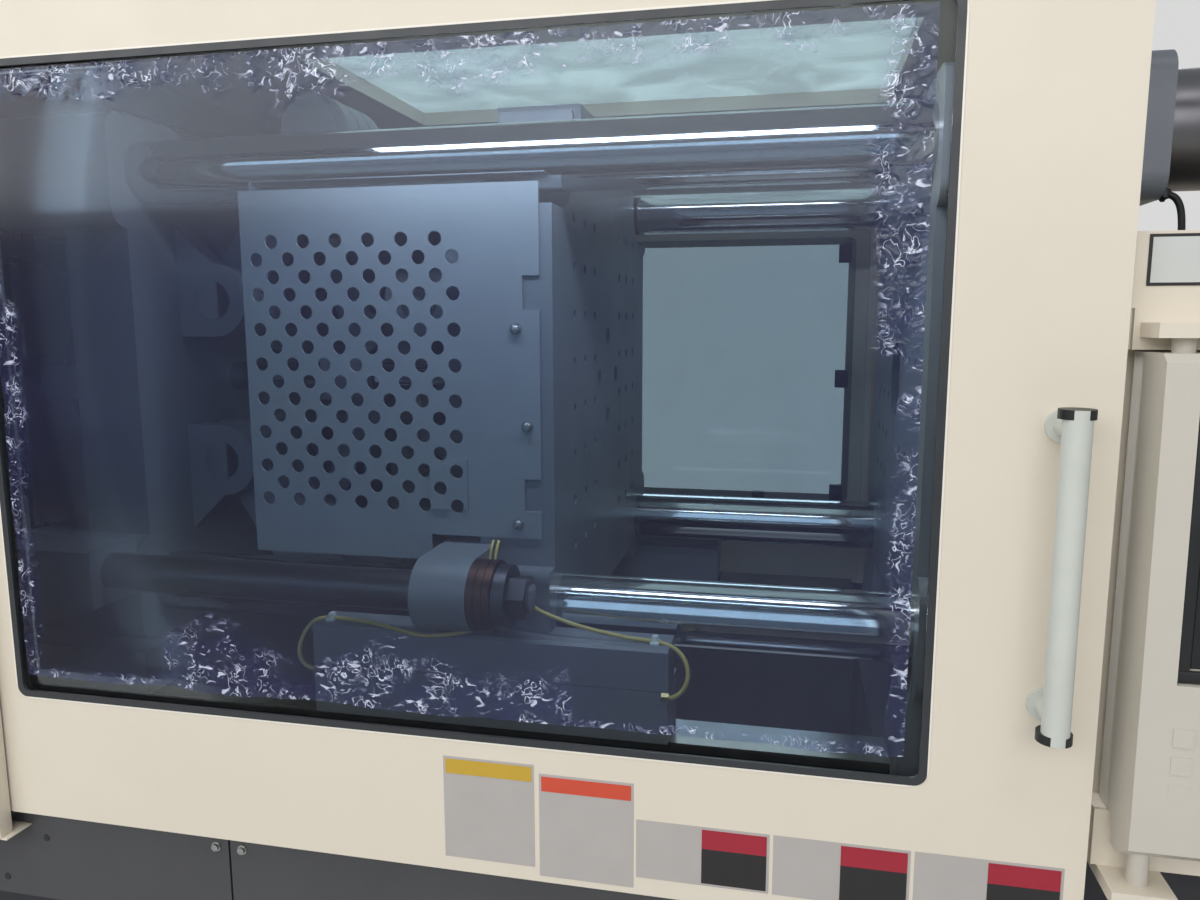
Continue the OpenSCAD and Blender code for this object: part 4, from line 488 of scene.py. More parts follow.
# Sprayed two-part paint on castings: even, half gloss, with the casting's skin breaking up the highlights.
GREY_CAST = Paint("grey_casting_paint", "#7A7F87", 0.38, cast_mm=9.0, cast_depth_mm=0.2)
# The same grey on flat sheet: smoother, with a wider and weaker highlight, and painted a shade lighter as the light
# that falls on the guard.
GREY_SHEET_PAINTED_LIGHT = Paint("grey_guard_paint_painted_light", "#8E949C", 0.45)
# Polyester powder coat on folded sheet: fine orange peel, soft highlights, hardly any dirt.
CREAM = Paint("cream_powder_coat", "#E6DCCB", 0.38, peel_mm=1.4, shade=0.03)
# The same coat round the window's opening, painted brighter and glossier: the brighter colour is a painted highlight
# on the rounded edge, so the edge draws a thin line.
CREAM_EDGE_HIGHLIGHT = Paint("powder_coat_edge_painted_highlight", "#F4EEE2", 0.25, shade=0.02)
# Coarse powder coat of the base's sheets: nearly flat, and dust greys it in patches.
CHARCOAL = Paint("charcoal_powder_coat", "#4A4A4D", 0.55, peel_mm=0.9, peel_depth_mm=0.12, shade=0.08)
# Brushed enamel of the welded base: dull, uneven where oil was wiped off, and painted near black as the shade under
# the base panels and in the drop chute.
BASE_PAINTED_SHADE = Paint("base_enamel_painted_shade", "#26282D", 0.5, shade=0.1)
# Powder coat of the panel's housing: pale warm grey with a soft sheen.
GREY_PAINT = Paint("light_grey_powder_coat", "#CFC9BD", 0.42, shade=0.04)
# Motor enamel over a small rough casting: black with little broken highlights.
MOTOR_BLACK = Paint("black_motor_enamel", "#1C1D20", 0.5, cast_mm=4.0, cast_depth_mm=0.2)
# Primer inside the guards: flat, and painted dark as the shade inside the guards, so the frame stays behind what it
# holds.
INNER_PAINTED_SHADE = Paint("primer_painted_shade", "#34353A", 0.6)
# Sealed concrete: pale, with a broad dull gloss.
FLOOR_PAINT = Paint("pale_sealed_floor", "#D9D8D4", 0.5, peel_mm=6.0, shade=0.04)
SWEPT_FLOOR = SweptFloor("swept_floor", FLOOR_PAINT)
# Hard chromed ground bar: a mirror drawn out along its length by the grinding lines.
CHROME_BAR = Metal("hard_chrome_bar", "#C9CCD0", 0.09, Grain.TURNED, line_mm=1.5, line_depth_mm=0.004, stain=0.06)
# Hardened rail with oil in patches: its colour is darkened as a painted reflection of the dark surroundings, with a
# sharp streak along it.
RAIL_PAINTED_REFLECTION = Metal("hardened_rail_painted_reflection", "#5C6166", 0.2, Grain.ALONG_X, stain=0.2)
# Ground steel: satin grey with lines along the cut.
GROUND = Metal("ground_steel", "#9A9C9E", 0.28, Grain.ALONG_X)
# Zinc plating on screws: pale and faintly cloudy, so that each head sparkles a little differently.
ZINC = Metal("zinc_plated_screws", "#B4B6B4", 0.3, line_mm=2.0)
# Nickel on brass: the warm metal shows through the thin plating.
NICKEL = Metal("nickel_plated_brass", "#B8A878", 0.3)
# Milled aluminium: pale and satin, with even cutter lines.
ALUMINIUM = Metal("machined_aluminium", "#B5B8BC", 0.34, Grain.ALONG_Y)
# Brushed stainless sheet: its upright lines draw the highlights wide.
STAINLESS = Metal("brushed_stainless_sheet", "#B9BBBC", 0.3, Grain.ALONG_Z)
# Barrel steel after long heat: brown-grey, dull and stained.
HEATED = Metal("heat_darkened_steel", "#6C6660", 0.42, Grain.TURNED, stain=0.3)
# Plated sheet of the heater bands: yellowed by heat, duller than new sheet.
BAND = Metal("mica_band_heater_sheet", "#A8A59C", 0.38, Grain.TURNED, stain=0.25)
# Hot-blackened steel: deep black with a brown cast and an oily sheen.
BLACK_OXIDE = Metal("black_oxide_steel", "#55555A", 0.38, line_mm=1.2, stain=0.2)
# The nuts are painted greyer than the other blackened parts: the grey is a painted reflection on their thread and
# faces.
BLACK_PAINTED_REFLECTION = Metal("black_oxide_steel_painted_reflection", "#7E7D80", 0.36, line_mm=1.2, stain=0.2)
# Turned bronze, dark with oil: a brown glow beside the black of the nut.
BRONZE = Metal("bronze", "#5E463E", 0.4, Grain.TURNED, stain=0.35)
RING_STACK = RingStack("bronze_rings_and_black_nut", BRONZE, BLACK_OXIDE, -782.2)
# Rubber: black and nearly flat, with a skin rough enough to hold dust; the edge strip is smoother and greyer.
RUBBER = Plastic("black_nitrile_rubber", "#161617", 0.6, 1.2, 0.05)
EDGE_RUBBER = Plastic("grey_epdm_edge_strip", "#2F3236", 0.35, 1.2, 0.04)
# Moulded parts with a spark-eroded grain: it spreads the highlight and hides scratches.
BLACK_ABS = Plastic("black_abs", "#1B1C1E", 0.42)
GREY_ABS = Plastic("grey_abs", "#C8CBC3", 0.38)
WHITE_ABS = Plastic("white_nylon_clips", "#E2E4E0", 0.45)
# Polished moulded parts: a clear highlight on a strong colour.
RED_ABS = Plastic("red_button_abs", "#B3161B", 0.3, grain_depth_mm=0.01)
YELLOW_ABS = Plastic("yellow_collar_abs", "#E0B51C", 0.35, 2.0, 0.01)
# Extruded nylon and PVC: smooth along the length, the tube glossy, the cable dull.
AMBER_TUBE = Plastic("amber_nylon_tube", "#C2AE62", 0.3, 3.0, 0.01)
CABLE = Plastic("black_pvc_cable", "#18191A", 0.5, 1.0, 0.02)
# Printed vinyl: plain flat colour under one even satin sheen.
GREY_VINYL = Plastic("grey_vinyl", "#B2ACA8", 0.35, 2.0, 0.005)
PALE_VINYL = Plastic("pale_vinyl", "#C9CBC7", 0.35, 2.0, 0.005)
BLACK_VINYL = Plastic("black_vinyl", "#232021", 0.35, 2.0, 0.005)
CRIMSON_VINYL = Plastic("crimson_vinyl", "#A01E32", 0.35, 2.0, 0.005)
AMBER_VINYL = Plastic("signal_vinyl_0", "#C4A032", 0.35, 2.0, 0.005)
ORANGE_VINYL = Plastic("signal_vinyl_1", "#CD4B32", 0.35, 2.0, 0.005)
BLACK_PRINT = Plastic("black_print", "#232021", 0.4, 2.0, 0.005)
# Glass over something dark: black, with clean reflections.
SCREEN_GLASS = Plastic("dark_screen_glass", "#101418", 0.12, 40.0, 0.002)
SIGHT_GLASS = Plastic("dark_sight_glass", "#23282C", 0.15, 40.0, 0.002)
# Polycarbonate: clear at the rear, grey and quieter at the front, where the film lies on it.
PANE = ClearSheet("clear_polycarbonate", "#E3EAEA")
TINTED_PANE = ClearSheet("grey_tinted_polycarbonate", "#E8ECEE", haze=0.003, mirror=0.3, body="#3E4854")
ROOF_PANE = MaskedPane("masked_roof_pane")
FILM = Film("blue_masking_film")

# Finish of every solid of the machine, by the names of the solids that have it.
DRESS: dict[str, Finish] = {name: finish for finish, names in (
    (GREY_CAST, "fixed_platen moving_platen tailstock upper_rear_links lower_rear_links upper_front_links"),
    (GREY_CAST, "lower_front_links upper_short_links lower_short_links crosshead slide_shoes carriage pusher_plate"),
    (GREY_SHEET_PAINTED_LIGHT, "side_guard"),
    (CREAM, "front_door rear_door roof_cover left_covers right_frame control_cabinet left_cabinet_door"),
    (CREAM, "right_cabinet_door injection_cover purge_guard"),
    (CHARCOAL, "injection_base base_panels"),
    (BASE_PAINTED_SHADE, "clamp_base"),
    (GREY_PAINT, "operator_panel"),
    (MOTOR_BLACK, "clamp_motor ejector_drive"),
    (INNER_PAINTED_SHADE, "guard_frame"),
    (CHROME_BAR, "tie_bars tail_rods injection_screw"),
    (RAIL_PAINTED_REFLECTION, "platen_rails"),
    (GROUND, "front_pins ejector_plate stopper_pawl front_ball_screw rear_ball_screw hopper_gate"),
    (ALUMINIUM, "drive_pulley"),
    (STAINLESS, "hopper hopper_lid"),
    (HEATED, "barrel"),
    (BLACK_OXIDE, "levelling_pads height_sprockets stopper_rod"),
    (BLACK_PAINTED_REFLECTION, "tie_bar_nuts"),
    (RING_STACK, "stopper_rings"),
    (RUBBER, "clamp_belt"),
    (EDGE_RUBBER, "front_gasket"),
    (BLACK_ABS, "clamp_lever"),
    (GREY_ABS, "front_handle"),
    (RED_ABS, "stop_button"),
    (AMBER_TUBE, "grease_tubes"),
    (PANE, "rear_window"),
    (TINTED_PANE, "front_window"),
    (ROOF_PANE, "roof_window"),
    (FILM, "window_film"),
) for name in names.split()}


class Workshop:
    """Builds finishes once and turns finished bmeshes into pieces that ride on the machine's bodies."""

    def __init__(self) -> None:
        """Starts with no finish made."""
        self.made: dict[str, bpy.types.Material] = {}

    def finish(self, finish: Finish) -> bpy.types.Material:
        """Returns the material of a finish, made on its first use."""
        if finish.name not in self.made:
            self.made[finish.name] = finish.build()
        return self.made[finish.name]

    def dress(self, obj: bpy.types.Object, finish: Finish) -> None:
        """Gives an object one finish all over.

        Args:
            obj: Object to dress.
            finish: Its finish.
        """
        obj.data.materials.clear()
        obj.data.materials.append(self.finish(finish))

    def piece(self, name: str, shape: Shape, finish: Finish, body: str, smooth: bool = True,
              bevel_mm: float = 0.0, stands_for: str | None = None) -> bpy.types.Object:
        """Turns a bmesh into a dressed piece that rides on a body.

        Args:
            name: Name of the piece.
            shape: Mesh in the machine's frame; it is freed.
            finish: Its finish.
            body: Body that it moves with.
            smooth: Whether rounded faces are shaded smooth.
            bevel_mm: Width of a live bevel on its sharp edges.
            stands_for: Node that the piece replaces, if it replaces one.

        Returns:
            The new object.
        """
        bmesh.ops.recalc_face_normals(shape, faces=shape.faces[:])
        mesh = bpy.data.meshes.new(name)
        shape.to_mesh(mesh)
        shape.free()
        obj = bpy.data.objects.new(name, mesh)
        bpy.context.scene.collection.objects.link(obj)
        if smooth:
            mesh.shade_smooth()
            mesh.set_sharp_from_angle(angle=SMOOTH_BELOW)
        if bevel_mm:
            edge = obj.modifiers.new("worn_edges", "BEVEL")
            edge.width, edge.segments = bevel_mm * MM, 2
            edge.limit_method, edge.angle_limit = "ANGLE", BEVEL_ABOVE
        self.dress(obj, finish)
        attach(obj, body)
        if stands_for:
            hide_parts(stands_for)
        LOG.info("%s: %d faces on %s", name, len(mesh.polygons), body)
        return obj


def unique(items: Iterable) -> list:
    """Returns each item once, in the order of first sight; a set would change its order from run to run."""
    return list(dict.fromkeys(items))


def bevel_edges(shape: Shape, edges: list, width: float, segments: int) -> None:
    """Rounds edges of a bmesh, or turns them down with one flat.

    Args:
        shape: Mesh that the edges belong to.
        edges: Edges to cut back.
        width: How far they are cut back, in millimetres.
        segments: Number of flats across the cut.
    """
    bmesh.ops.bevel(shape, geom=edges, offset=width * MM, offset_type="OFFSET", segments=segments, profile=0.5,
                    affect="EDGES", material=-1)


def add_block(shape: Shape, low: Iterable[float], high: Iterable[float], bevel: float = 0.0) -> None:
    """Adds a box between two corners to a bmesh, in millimetres.

    Args:
        shape: Mesh that gets the box.
        low: Lowest corner.
        high: Highest corner.
        bevel: Width of its rounded edges.
    """
    a, b = Vector(low) * MM, Vector(high) * MM
    size = Matrix.Diagonal(((b - a).x, (b - a).y, (b - a).z, 1.0))
    verts = bmesh.ops.create_cube(shape, size=1.0, matrix=Matrix.Translation((a + b) / 2) @ size)["verts"]
    if bevel:
        bevel_edges(shape, unique(e for v in verts for e in v.link_edges), bevel, 3)


def add_round(shape: Shape, start: Iterable[float], end: Iterable[float], width: float, sides: int = 32,
              end_width: float | None = None) -> list:
    """Adds a closed round bar or cone between two points to a bmesh, in millimetres.

    Args:
        shape: Mesh that gets the bar.
        start: Centre of one end.
        end: Centre of the other end.
        width: Diameter at the start.
        sides: Number of sides round it.
        end_width: Diameter at the end, where it differs.

    Returns:
        The new vertices.
    """
    a, b = Vector(start) * MM, Vector(end) * MM
    turn = (b - a).to_track_quat("Z", "Y").to_matrix().to_4x4()
    return bmesh.ops.create_cone(
        shape, cap_ends=True, segments=sides, radius1=width * MM / 2, radius2=(end_width or width) * MM / 2,
        depth=(b - a).length, matrix=Matrix.Translation((a + b) / 2) @ turn)["verts"]


@dataclass
class WindowFilm:
    """Masking film on the door's outer pane, lifted into creases and blisters along its edges."""

    left: float = -1383.0
    right: float = -279.0
    bottom: float = 811.0
    top: float = 1573.0
    face_y: float = -617.6
    step: float = 6.0
    blister: float = 2.6
    margin: float = 5.0
    swell_size: float = 130.0
    patch_size: float = 28.0
    ripple_sizes: tuple = (17.0, 7.0)
    wander_size: float = 60.0
    cut_reach: float = 40.0

    def lift_at(self, x: float, z: float) -> float:
        """Says how far the film has let go at a point of the window.

        Args:
            x: Place along the machine, in millimetres.
            z: Height, in millimetres.

        Returns:
            0 where it is flat on the pane, 1 in the middle of a blistered strip.
        """
        from_left, from_right = x - self.left, self.right - x
        from_bottom, from_top = z - self.bottom, self.top - z
        wide = noise.noise(Vector((x / self.swell_size, z / self.swell_size, 3.0)))
        # Each strip along an edge: distance from it, how far the strip reaches in, and how much it lifts.
        strips = (
            (from_top, 46, 0.85 if x < self.left + 330 else 0.55),
            (from_top, 64 if -1010 < x < -640 else 12, 0.9),
            (from_right, 62 if z > 1240 else 24, 0.95),
            (from_left, 34 if z < 1300 else 18, 0.7),
            (from_bottom, 92 if -1170 < x < -640 else 16, 1.0),
        )
        lift = 0.0
        for away, reach, most in strips:
            reach = reach * (1 + 0.7 * wide)
            if away < reach:
                lift = max(lift, most * min(1.0, (reach - away) / (0.45 * reach)))
        patch = noise.noise(Vector((x / self.patch_size, z / self.patch_size, 9.0)))
        return max(0.0, min(1.0, lift * (0.75 + 0.9 * patch)))

    def build(self, shop: Workshop) -> None:
        """Builds the film from a fine grid that is lifted point by point.

        Args:
            shop: Workshop that makes the piece.
        """
        width, height = self.right - self.left, self.top - self.bottom
        shape = bmesh.new()
        place = Matrix.Translation(Vector((self.left + width / 2, self.face_y, self.bottom + height / 2)) * MM)
        bmesh.ops.create_grid(shape, x_segments=round(width / self.step), y_segments=round(height / self.step),
                              size=0.5, matrix=place @ UPRIGHT @ Matrix.Diagonal((width * MM, height * MM, 1.0, 1.0)))
        coarse, fine = self.ripple_sizes
        lift_layer = shape.verts.layers.float.new("lift")
        for vert in shape.verts:
            x, z = vert.co.x / MM, vert.co.z / MM
            lift = self.lift_at(x, z)
            ripple = abs(noise.noise(Vector((x / coarse, z / coarse, 1.0))))
            ripple += 0.5 * abs(noise.noise(Vector((x / fine, z / fine, 5.0))))
            vert[lift_layer] = lift
            vert.co.y -= lift * ripple * self.blister * MM
            # The sheet was cut by hand: its left and lower edges wander a few millimetres inside the gasket.
            wander = self.margin * (1 + noise.noise(Vector((x / self.wander_size, z / self.wander_size, 7.0))))
            vert.co.x += wander * max(0.0, 1 - (x - self.left) / self.cut_reach) * MM
            vert.co.z += wander * max(0.0, 1 - (z - self.bottom) / self.cut_reach) * MM
        shop.piece("masking_film", shape, FILM, "front_door", stands_for="window_film")


@dataclass
class WindowRim:
    """Rounded edge of the door's sheet all round the window's opening, painted brighter as its highlight."""

    width: float = 2.4
    proud: float = 0.9
    radius: float = 21.0
    behind: float = 1.0

    def build(self, shop: Workshop) -> None:
        """Builds the edge as one closed ring round the gasket.

        Args:
            shop: Workshop that makes the piece.
        """
        low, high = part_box("front_gasket")
        face = low.y + self.behind * MM
        size = Vector((high.x - low.x, 1.0, high.z - low.z)) + Vector((self.width, 0, self.width)) * 2 * MM
        place = Matrix.Translation(Vector(((low.x + high.x) / 2, face, (low.z + high.z) / 2)))
        shape = bmesh.new()
        bmesh.ops.create_grid(shape, x_segments=1, y_segments=1, size=0.5,
                              matrix=place @ UPRIGHT @ Matrix.Diagonal((size.x, size.z, 1.0, 1.0)))
        bmesh.ops.bevel(shape, geom=shape.verts[:], offset=(self.radius + self.width) * MM, offset_type="OFFSET",
                        segments=10, profile=0.5, affect="VERTICES", material=-1)
        inner = shape.faces[:]
        bmesh.ops.inset_region(shape, faces=inner, thickness=self.width * MM, use_boundary=True, use_even_offset=True)
        bmesh.ops.delete(shape, geom=inner, context="FACES")
        bmesh.ops.solidify(shape, geom=shape.faces[:], thickness=self.proud * MM)
        near = min(v.co.y for v in shape.verts)
        bmesh.ops.translate(shape, verts=shape.verts[:], vec=(0, face - self.proud * MM - near, 0))
        shop.piece("window_rim", shape, CREAM_EDGE_HIGHLIGHT, "front_door", bevel_mm=0.6)


@dataclass
class BlankPlates:
    """Bare plates on the door's lower rail: plain colour fields without any lettering, stuck on as thin vinyl."""

    face_y: float = -620.0
    thick: float = 0.5
    margin: float = 3.0
    tall: tuple = ((-799.0, 637.0, AMBER_VINYL), (-681.0, 627.0, ORANGE_VINYL))
    tall_size: tuple = (112.0, 128.0)
    head: float = 18.0
    low: tuple = ((-566.0, -416.0), (-412.0, -267.0), (-263.0, -115.0))
    low_z: tuple = (641.0, 712.0)
    red: float = 26.0

    def plate(self, shop: Workshop, name: str, low: tuple, high: tuple, finish: Finish, layer: int) -> None:
        """Sticks one field on the door.

        Args:
            shop: Workshop that makes the piece.
            name: Name of the piece.
            low: Left and lower edge.
            high: Right and upper edge.
            finish: Finish of the field.
            layer: 0 for the plate itself, 1 for a field on it.
        """
        shape = bmesh.new()
        back = self.face_y - layer * self.thick
        add_block(shape, (low[0], back - self.thick, low[1]), (high[0], back, high[1]))
        shop.piece(name, shape, finish, "front_door", smooth=False)

    def build(self, shop: Workshop) -> None:
        """Builds the five plates and their fields.

        Args:
            shop: Workshop that makes the pieces.
        """
        for number, (x, z, signal) in enumerate(self.tall):
            x1, z1 = x + self.tall_size[0], z + self.tall_size[1]
            self.plate(shop, f"door_plate_{number}", (x, z), (x1, z1), GREY_VINYL, 0)
            self.plate(shop, f"door_plate_head_{number}", (x + self.margin, z1 - self.margin - self.head),
                       (x1 - self.margin, z1 - self.margin), signal, 1)
        z0, z1 = self.low_z
        for number, (x0, x1) in enumerate(self.low):
            middle, end, seam = x0 + 0.5 * (x1 - x0), x1 - self.margin, z1 - self.red
            self.plate(shop, f"door_plate_low_{number}", (x0, z0), (x1, z1), GREY_VINYL, 0)
            self.plate(shop, f"door_plate_black_{number}", (middle, z0 + self.margin), (end, seam), BLACK_VINYL, 1)
            self.plate(shop, f"door_plate_red_{number}", (middle, seam), (end, z1 - self.margin), CRIMSON_VINYL, 1)


@dataclass
class GuardScrews:
    """Bright button-head screws with washers that hold the perforated guard to the moving platen."""

    face_y: float = -372.0
    places: tuple = ((-779.0, 1264.0), (-764.0, 1130.0), (-779.0, 991.0))
    washer: tuple = (18.0, 1.6)
    head: tuple = (13.0, 7.0)
    rounding: float = 2.2

    def build(self, shop: Workshop) -> None:
        """Builds the washers and the rounded heads on them.

        Args:
            shop: Workshop that makes the piece.
        """
        shape = bmesh.new()
        for x, z in self.places:
            seat = (x, self.face_y - self.washer[1], z)
            add_round(shape, (x, self.face_y, z), seat, self.washer[0])
            head = add_round(shape, seat, (x, self.face_y - self.head[1], z), self.head[0])
            top = [f for f in unique(f for v in head for f in v.link_faces) if f.normal.y < -0.9]
            bevel_edges(shape, unique(e for f in top for e in f.edges), self.rounding, 3)
        shop.piece("guard_screws", shape, ZINC, "moving_platen")


def sweep_tube(name: str, points: list, width: float, shop: Workshop, finish: Finish, body: str,
               stands_for: str | None = None) -> bpy.types.Object:
    """Draws a round tube through points as one smooth curve and turns it into a mesh.

    Args:
        name: Name of the piece.
        points: Points that the tube's centre passes, in millimetres.
        width: Outer diameter.
        shop: Workshop that makes the finish.
        finish: Its finish.
        body: Body that it moves with.
        stands_for: Node that it replaces, if any.

    Returns:
        The new piece.
    """
    curve = bpy.data.curves.new(name, "CURVE")
    curve.dimensions, curve.bevel_depth, curve.bevel_resolution = "3D", width * MM / 2, 4
    curve.resolution_u, curve.use_fill_caps = 10, True
    line = curve.splines.new("NURBS")
    line.points.add(len(points) - 1)
    for point, place in zip(line.points, points):
        point.co = (*(Vector(place) * MM), 1.0)
    line.order_u, line.use_endpoint_u = 4, True
    drawn = bpy.data.objects.new(name + "_line", curve)
    bpy.context.scene.collection.objects.link(drawn)
    bpy.context.view_layer.update()
    mesh = bpy.data.meshes.new_from_object(drawn.evaluated_get(bpy.context.evaluated_depsgraph_get()))
    bpy.data.objects.remove(drawn)
    shape = bmesh.new()
    shape.from_mesh(mesh)
    bpy.data.meshes.remove(mesh)
    bmesh.ops.remove_doubles(shape, verts=shape.verts[:], dist=0.00001)
    return shop.piece(name, shape, finish, body, stands_for=stands_for)


def add_hex(shape: Shape, start: Iterable[float], end: Iterable[float], flats: float) -> None:
    """Adds a hexagon bar, such as a nut or a bolt's head, whose rim is turned down at both ends.

    Args:
        shape: Mesh that gets it.
        start: Centre of one end, in millimetres.
        end: Centre of the other end.
        flats: Width across its flats.
    """
    verts = add_round(shape, start, end, flats / math.cos(math.pi / 6), sides=6)
    edges = unique(e for v in verts for e in v.link_edges)
    rims = [e for e in edges if len({f.normal.to_tuple(2) for f in e.link_faces}) > 1]
    ends = [e for e in rims if any(len(f.verts) == 6 for f in e.link_faces)]
    bevel_edges(shape, ends, flats * 0.04, 1)


def add_socket_screw(shape: Shape, place: Vector, out: Vector, width: float, height: float) -> None:
    """Adds a cap screw's head with a hexagon socket sunk into its end.

    Args:
        shape: Mesh that gets it.
        place: Centre of the seat under its head, in millimetres.
        out: Direction that the head points, of length 1.
        width: Diameter of the head.
        height: Height of the head.
    """
    verts = add_round(shape, place, place + out * height, width, sides=24)
    top = [f for f in unique(f for v in verts for f in v.link_faces) if f.normal.dot(out) > 0.9]
    bevel_edges(shape, [e for f in top for e in f.edges], width * 0.05, 2)
    socket = add_round(shape, place + out * (height + 0.05), place + out * (height + 0.1), width * 0.58, sides=6)
    cap = [f for f in unique(f for v in socket for f in v.link_faces) if f.normal.dot(out) > 0.9]
    bmesh.ops.inset_region(shape, faces=cap, thickness=width * 0.03 * MM, use_even_offset=True)
    bmesh.ops.translate(shape, verts=unique(v for f in cap for v in f.verts), vec=out * (-height * 0.5) * MM)


@dataclass
class GreaseLines:
    """Amber grease tubes of the front slide shoe and its two risers, with their white clips and plated fittings."""

    width: float = 6.0
    top: float = 848.0
    y: float = -412.0
    left: tuple = (
        (-816, -438, 858), (-826, -440, 856), (-842, -441, 851), (-876, -441, 844), (-904, -441, 842),
        (-936, -438, 847), (-965, -428, 849), (-1000, -418, 849), (-1040, -412, 849), (-1062, -412, 849),
        (-1080, -414, 845), (-1092, -424, 828), (-1096, -434, 806), (-1090, -438, 788), (-1078, -438, 780),
        (-1068, -436, 778),
    )
    right: tuple = (
        (-756, -404, 890), (-748, -407, 881), (-723, -411, 873), (-684, -413, 862), (-634, -412, 853),
        (-604, -412, 849), (-577, -412, 849), (-556, -414, 845), (-541, -420, 838), (-531, -427, 824),
        (-529, -434, 808), (-535, -438, 792), (-546, -438, 782), (-556, -436, 780),
    )
    riser: tuple = ((-405, 912), (-404, 935), (-396, 955), (-381, 968))
    riser_width: float = 4.4
    riser_x: tuple = (("left", -814.0), ("right", -806.0))
    clip_x: tuple = (-1052.0, -577.0)

    def build(self, shop: Workshop) -> None:
        """Builds both tubes, the risers and what holds them.

        Args:
            shop: Workshop that makes the pieces.
        """
        for side, points in (("left", self.left), ("right", self.right)):
            sweep_tube("grease_tube_" + side, list(points), self.width, shop, AMBER_TUBE, "moving_platen",
                       stands_for="grease_tubes")
        for side, x in self.riser_x:
            sweep_tube("riser_tube_" + side, [(x, y, z) for y, z in self.riser], self.riser_width, shop, AMBER_TUBE,
                       "moving_platen")
        clips = bmesh.new()
        for x in self.clip_x:
            add_block(clips, (x - 6, self.y - 9, self.top - 3), (x + 6, self.y + 9, self.top + 1), bevel=0.8)
            add_block(clips, (x - 4, self.y - 5, self.top), (x + 4, self.y + 5, self.top + 9), bevel=1.5)
        shop.piece("tube_clips", clips, WHITE_ABS, "moving_platen")
        fittings = bmesh.new()
        for end in (self.left[-1], self.right[-1]):
            toward = 1 if end[0] < -800 else -1
            add_hex(fittings, (end[0] - 2 * toward, end[1], end[2]), (end[0] + 9 * toward, end[1], end[2]), 11)
        shop.piece("tube_fittings", fittings, NICKEL, "moving_platen")


@dataclass
class RearDoorLatches:
    """Black latch blocks on the inside of the rear door's window frame."""

    inner_y: float = 566.0
    blocks: tuple = ((-300.0, 1424.0), (-300.0, 1145.0), (-304.0, 880.0), (-830.0, 862.0), (-480.0, 858.0))
    half_x: float = 14.0
    half_z: float = 20.0
    depth: float = 18.0

    def build(self, shop: Workshop) -> None:
        """Builds the blocks, each with the head of its screw.

        Args:
            shop: Workshop that makes the piece.
        """
        blocks = bmesh.new()
        face = self.inner_y - self.depth
        for x, z in self.blocks:
            add_block(blocks, (x - self.half_x, face, z - self.half_z),
                      (x + self.half_x, self.inner_y, z + self.half_z), bevel=2.0)
            add_socket_screw(blocks, Vector((x, face, z)), Vector((0, -1, 0)), 9, 4)
        shop.piece("rear_latch_blocks", blocks, BLACK_ABS, "rear_door")


@dataclass
class BaseScrews:
    """Screws of the dark base panels on both long sides, and the black plugs in the holes beside them."""

    face_y: float = -600.0
    bright: tuple = ((-1090.0, 594.0), (-1128.0, 594.0), (-540.0, 594.0), (20.0, 594.0), (470.0, 594.0),
                     (-1900.0, 594.0), (-2530.0, 594.0), (-1900.0, 500.0), (-540.0, 500.0), (20.0, 500.0))
    holes: tuple = ((-1393.0, 572.0), (-1464.0, 505.0), (-640.0, 572.0), (-700.0, 505.0))

    def build(self, shop: Workshop) -> None:
        """Builds the screws with their washers, and the plugs.

        Args:
            shop: Workshop that makes the pieces.
        """
        screws, plugs = bmesh.new(), bmesh.new()
        for side in (-1, 1):
            out = Vector((0, side, 0))
            for x, z in self.bright:
                seat = Vector((x, -side * self.face_y, z))
                add_round(screws, seat - out * 0.5, seat + out * 1.2, 13, sides=24)
                add_socket_screw(screws, seat + out * 1.0, out, 9.5, 4)
            for x, z in self.holes:
                seat = Vector((x, -side * self.face_y, z))
                add_round(plugs, seat - out * 0.5, seat + out * 0.8, 11, sides=24, end_width=9)
        shop.piece("base_screws", screws, ZINC, "frame")
        shop.piece("base_plugs", plugs, BLACK_ABS, "frame")


@dataclass
class HandleEnds:
    """Black end caps of the door's pull handle."""

    x: float = -147.0
    y: float = -663.0
    width: float = 33.2
    height: float = 9.0

    def build(self, shop: Workshop) -> None:
        """Builds one cap on each end of the handle.

        Args:
            shop: Workshop that makes the piece.
        """
        caps = bmesh.new()
        low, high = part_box("front_handle")
        for z, inward in ((low.z / MM, 1), (high.z / MM, -1)):
            add_round(caps, (self.x, self.y, z - 0.2 * inward), (self.x, self.y, z + self.height * inward),
                      self.width, sides=36)
        shop.piece("handle_end_caps", caps, BLACK_ABS, "front_door")


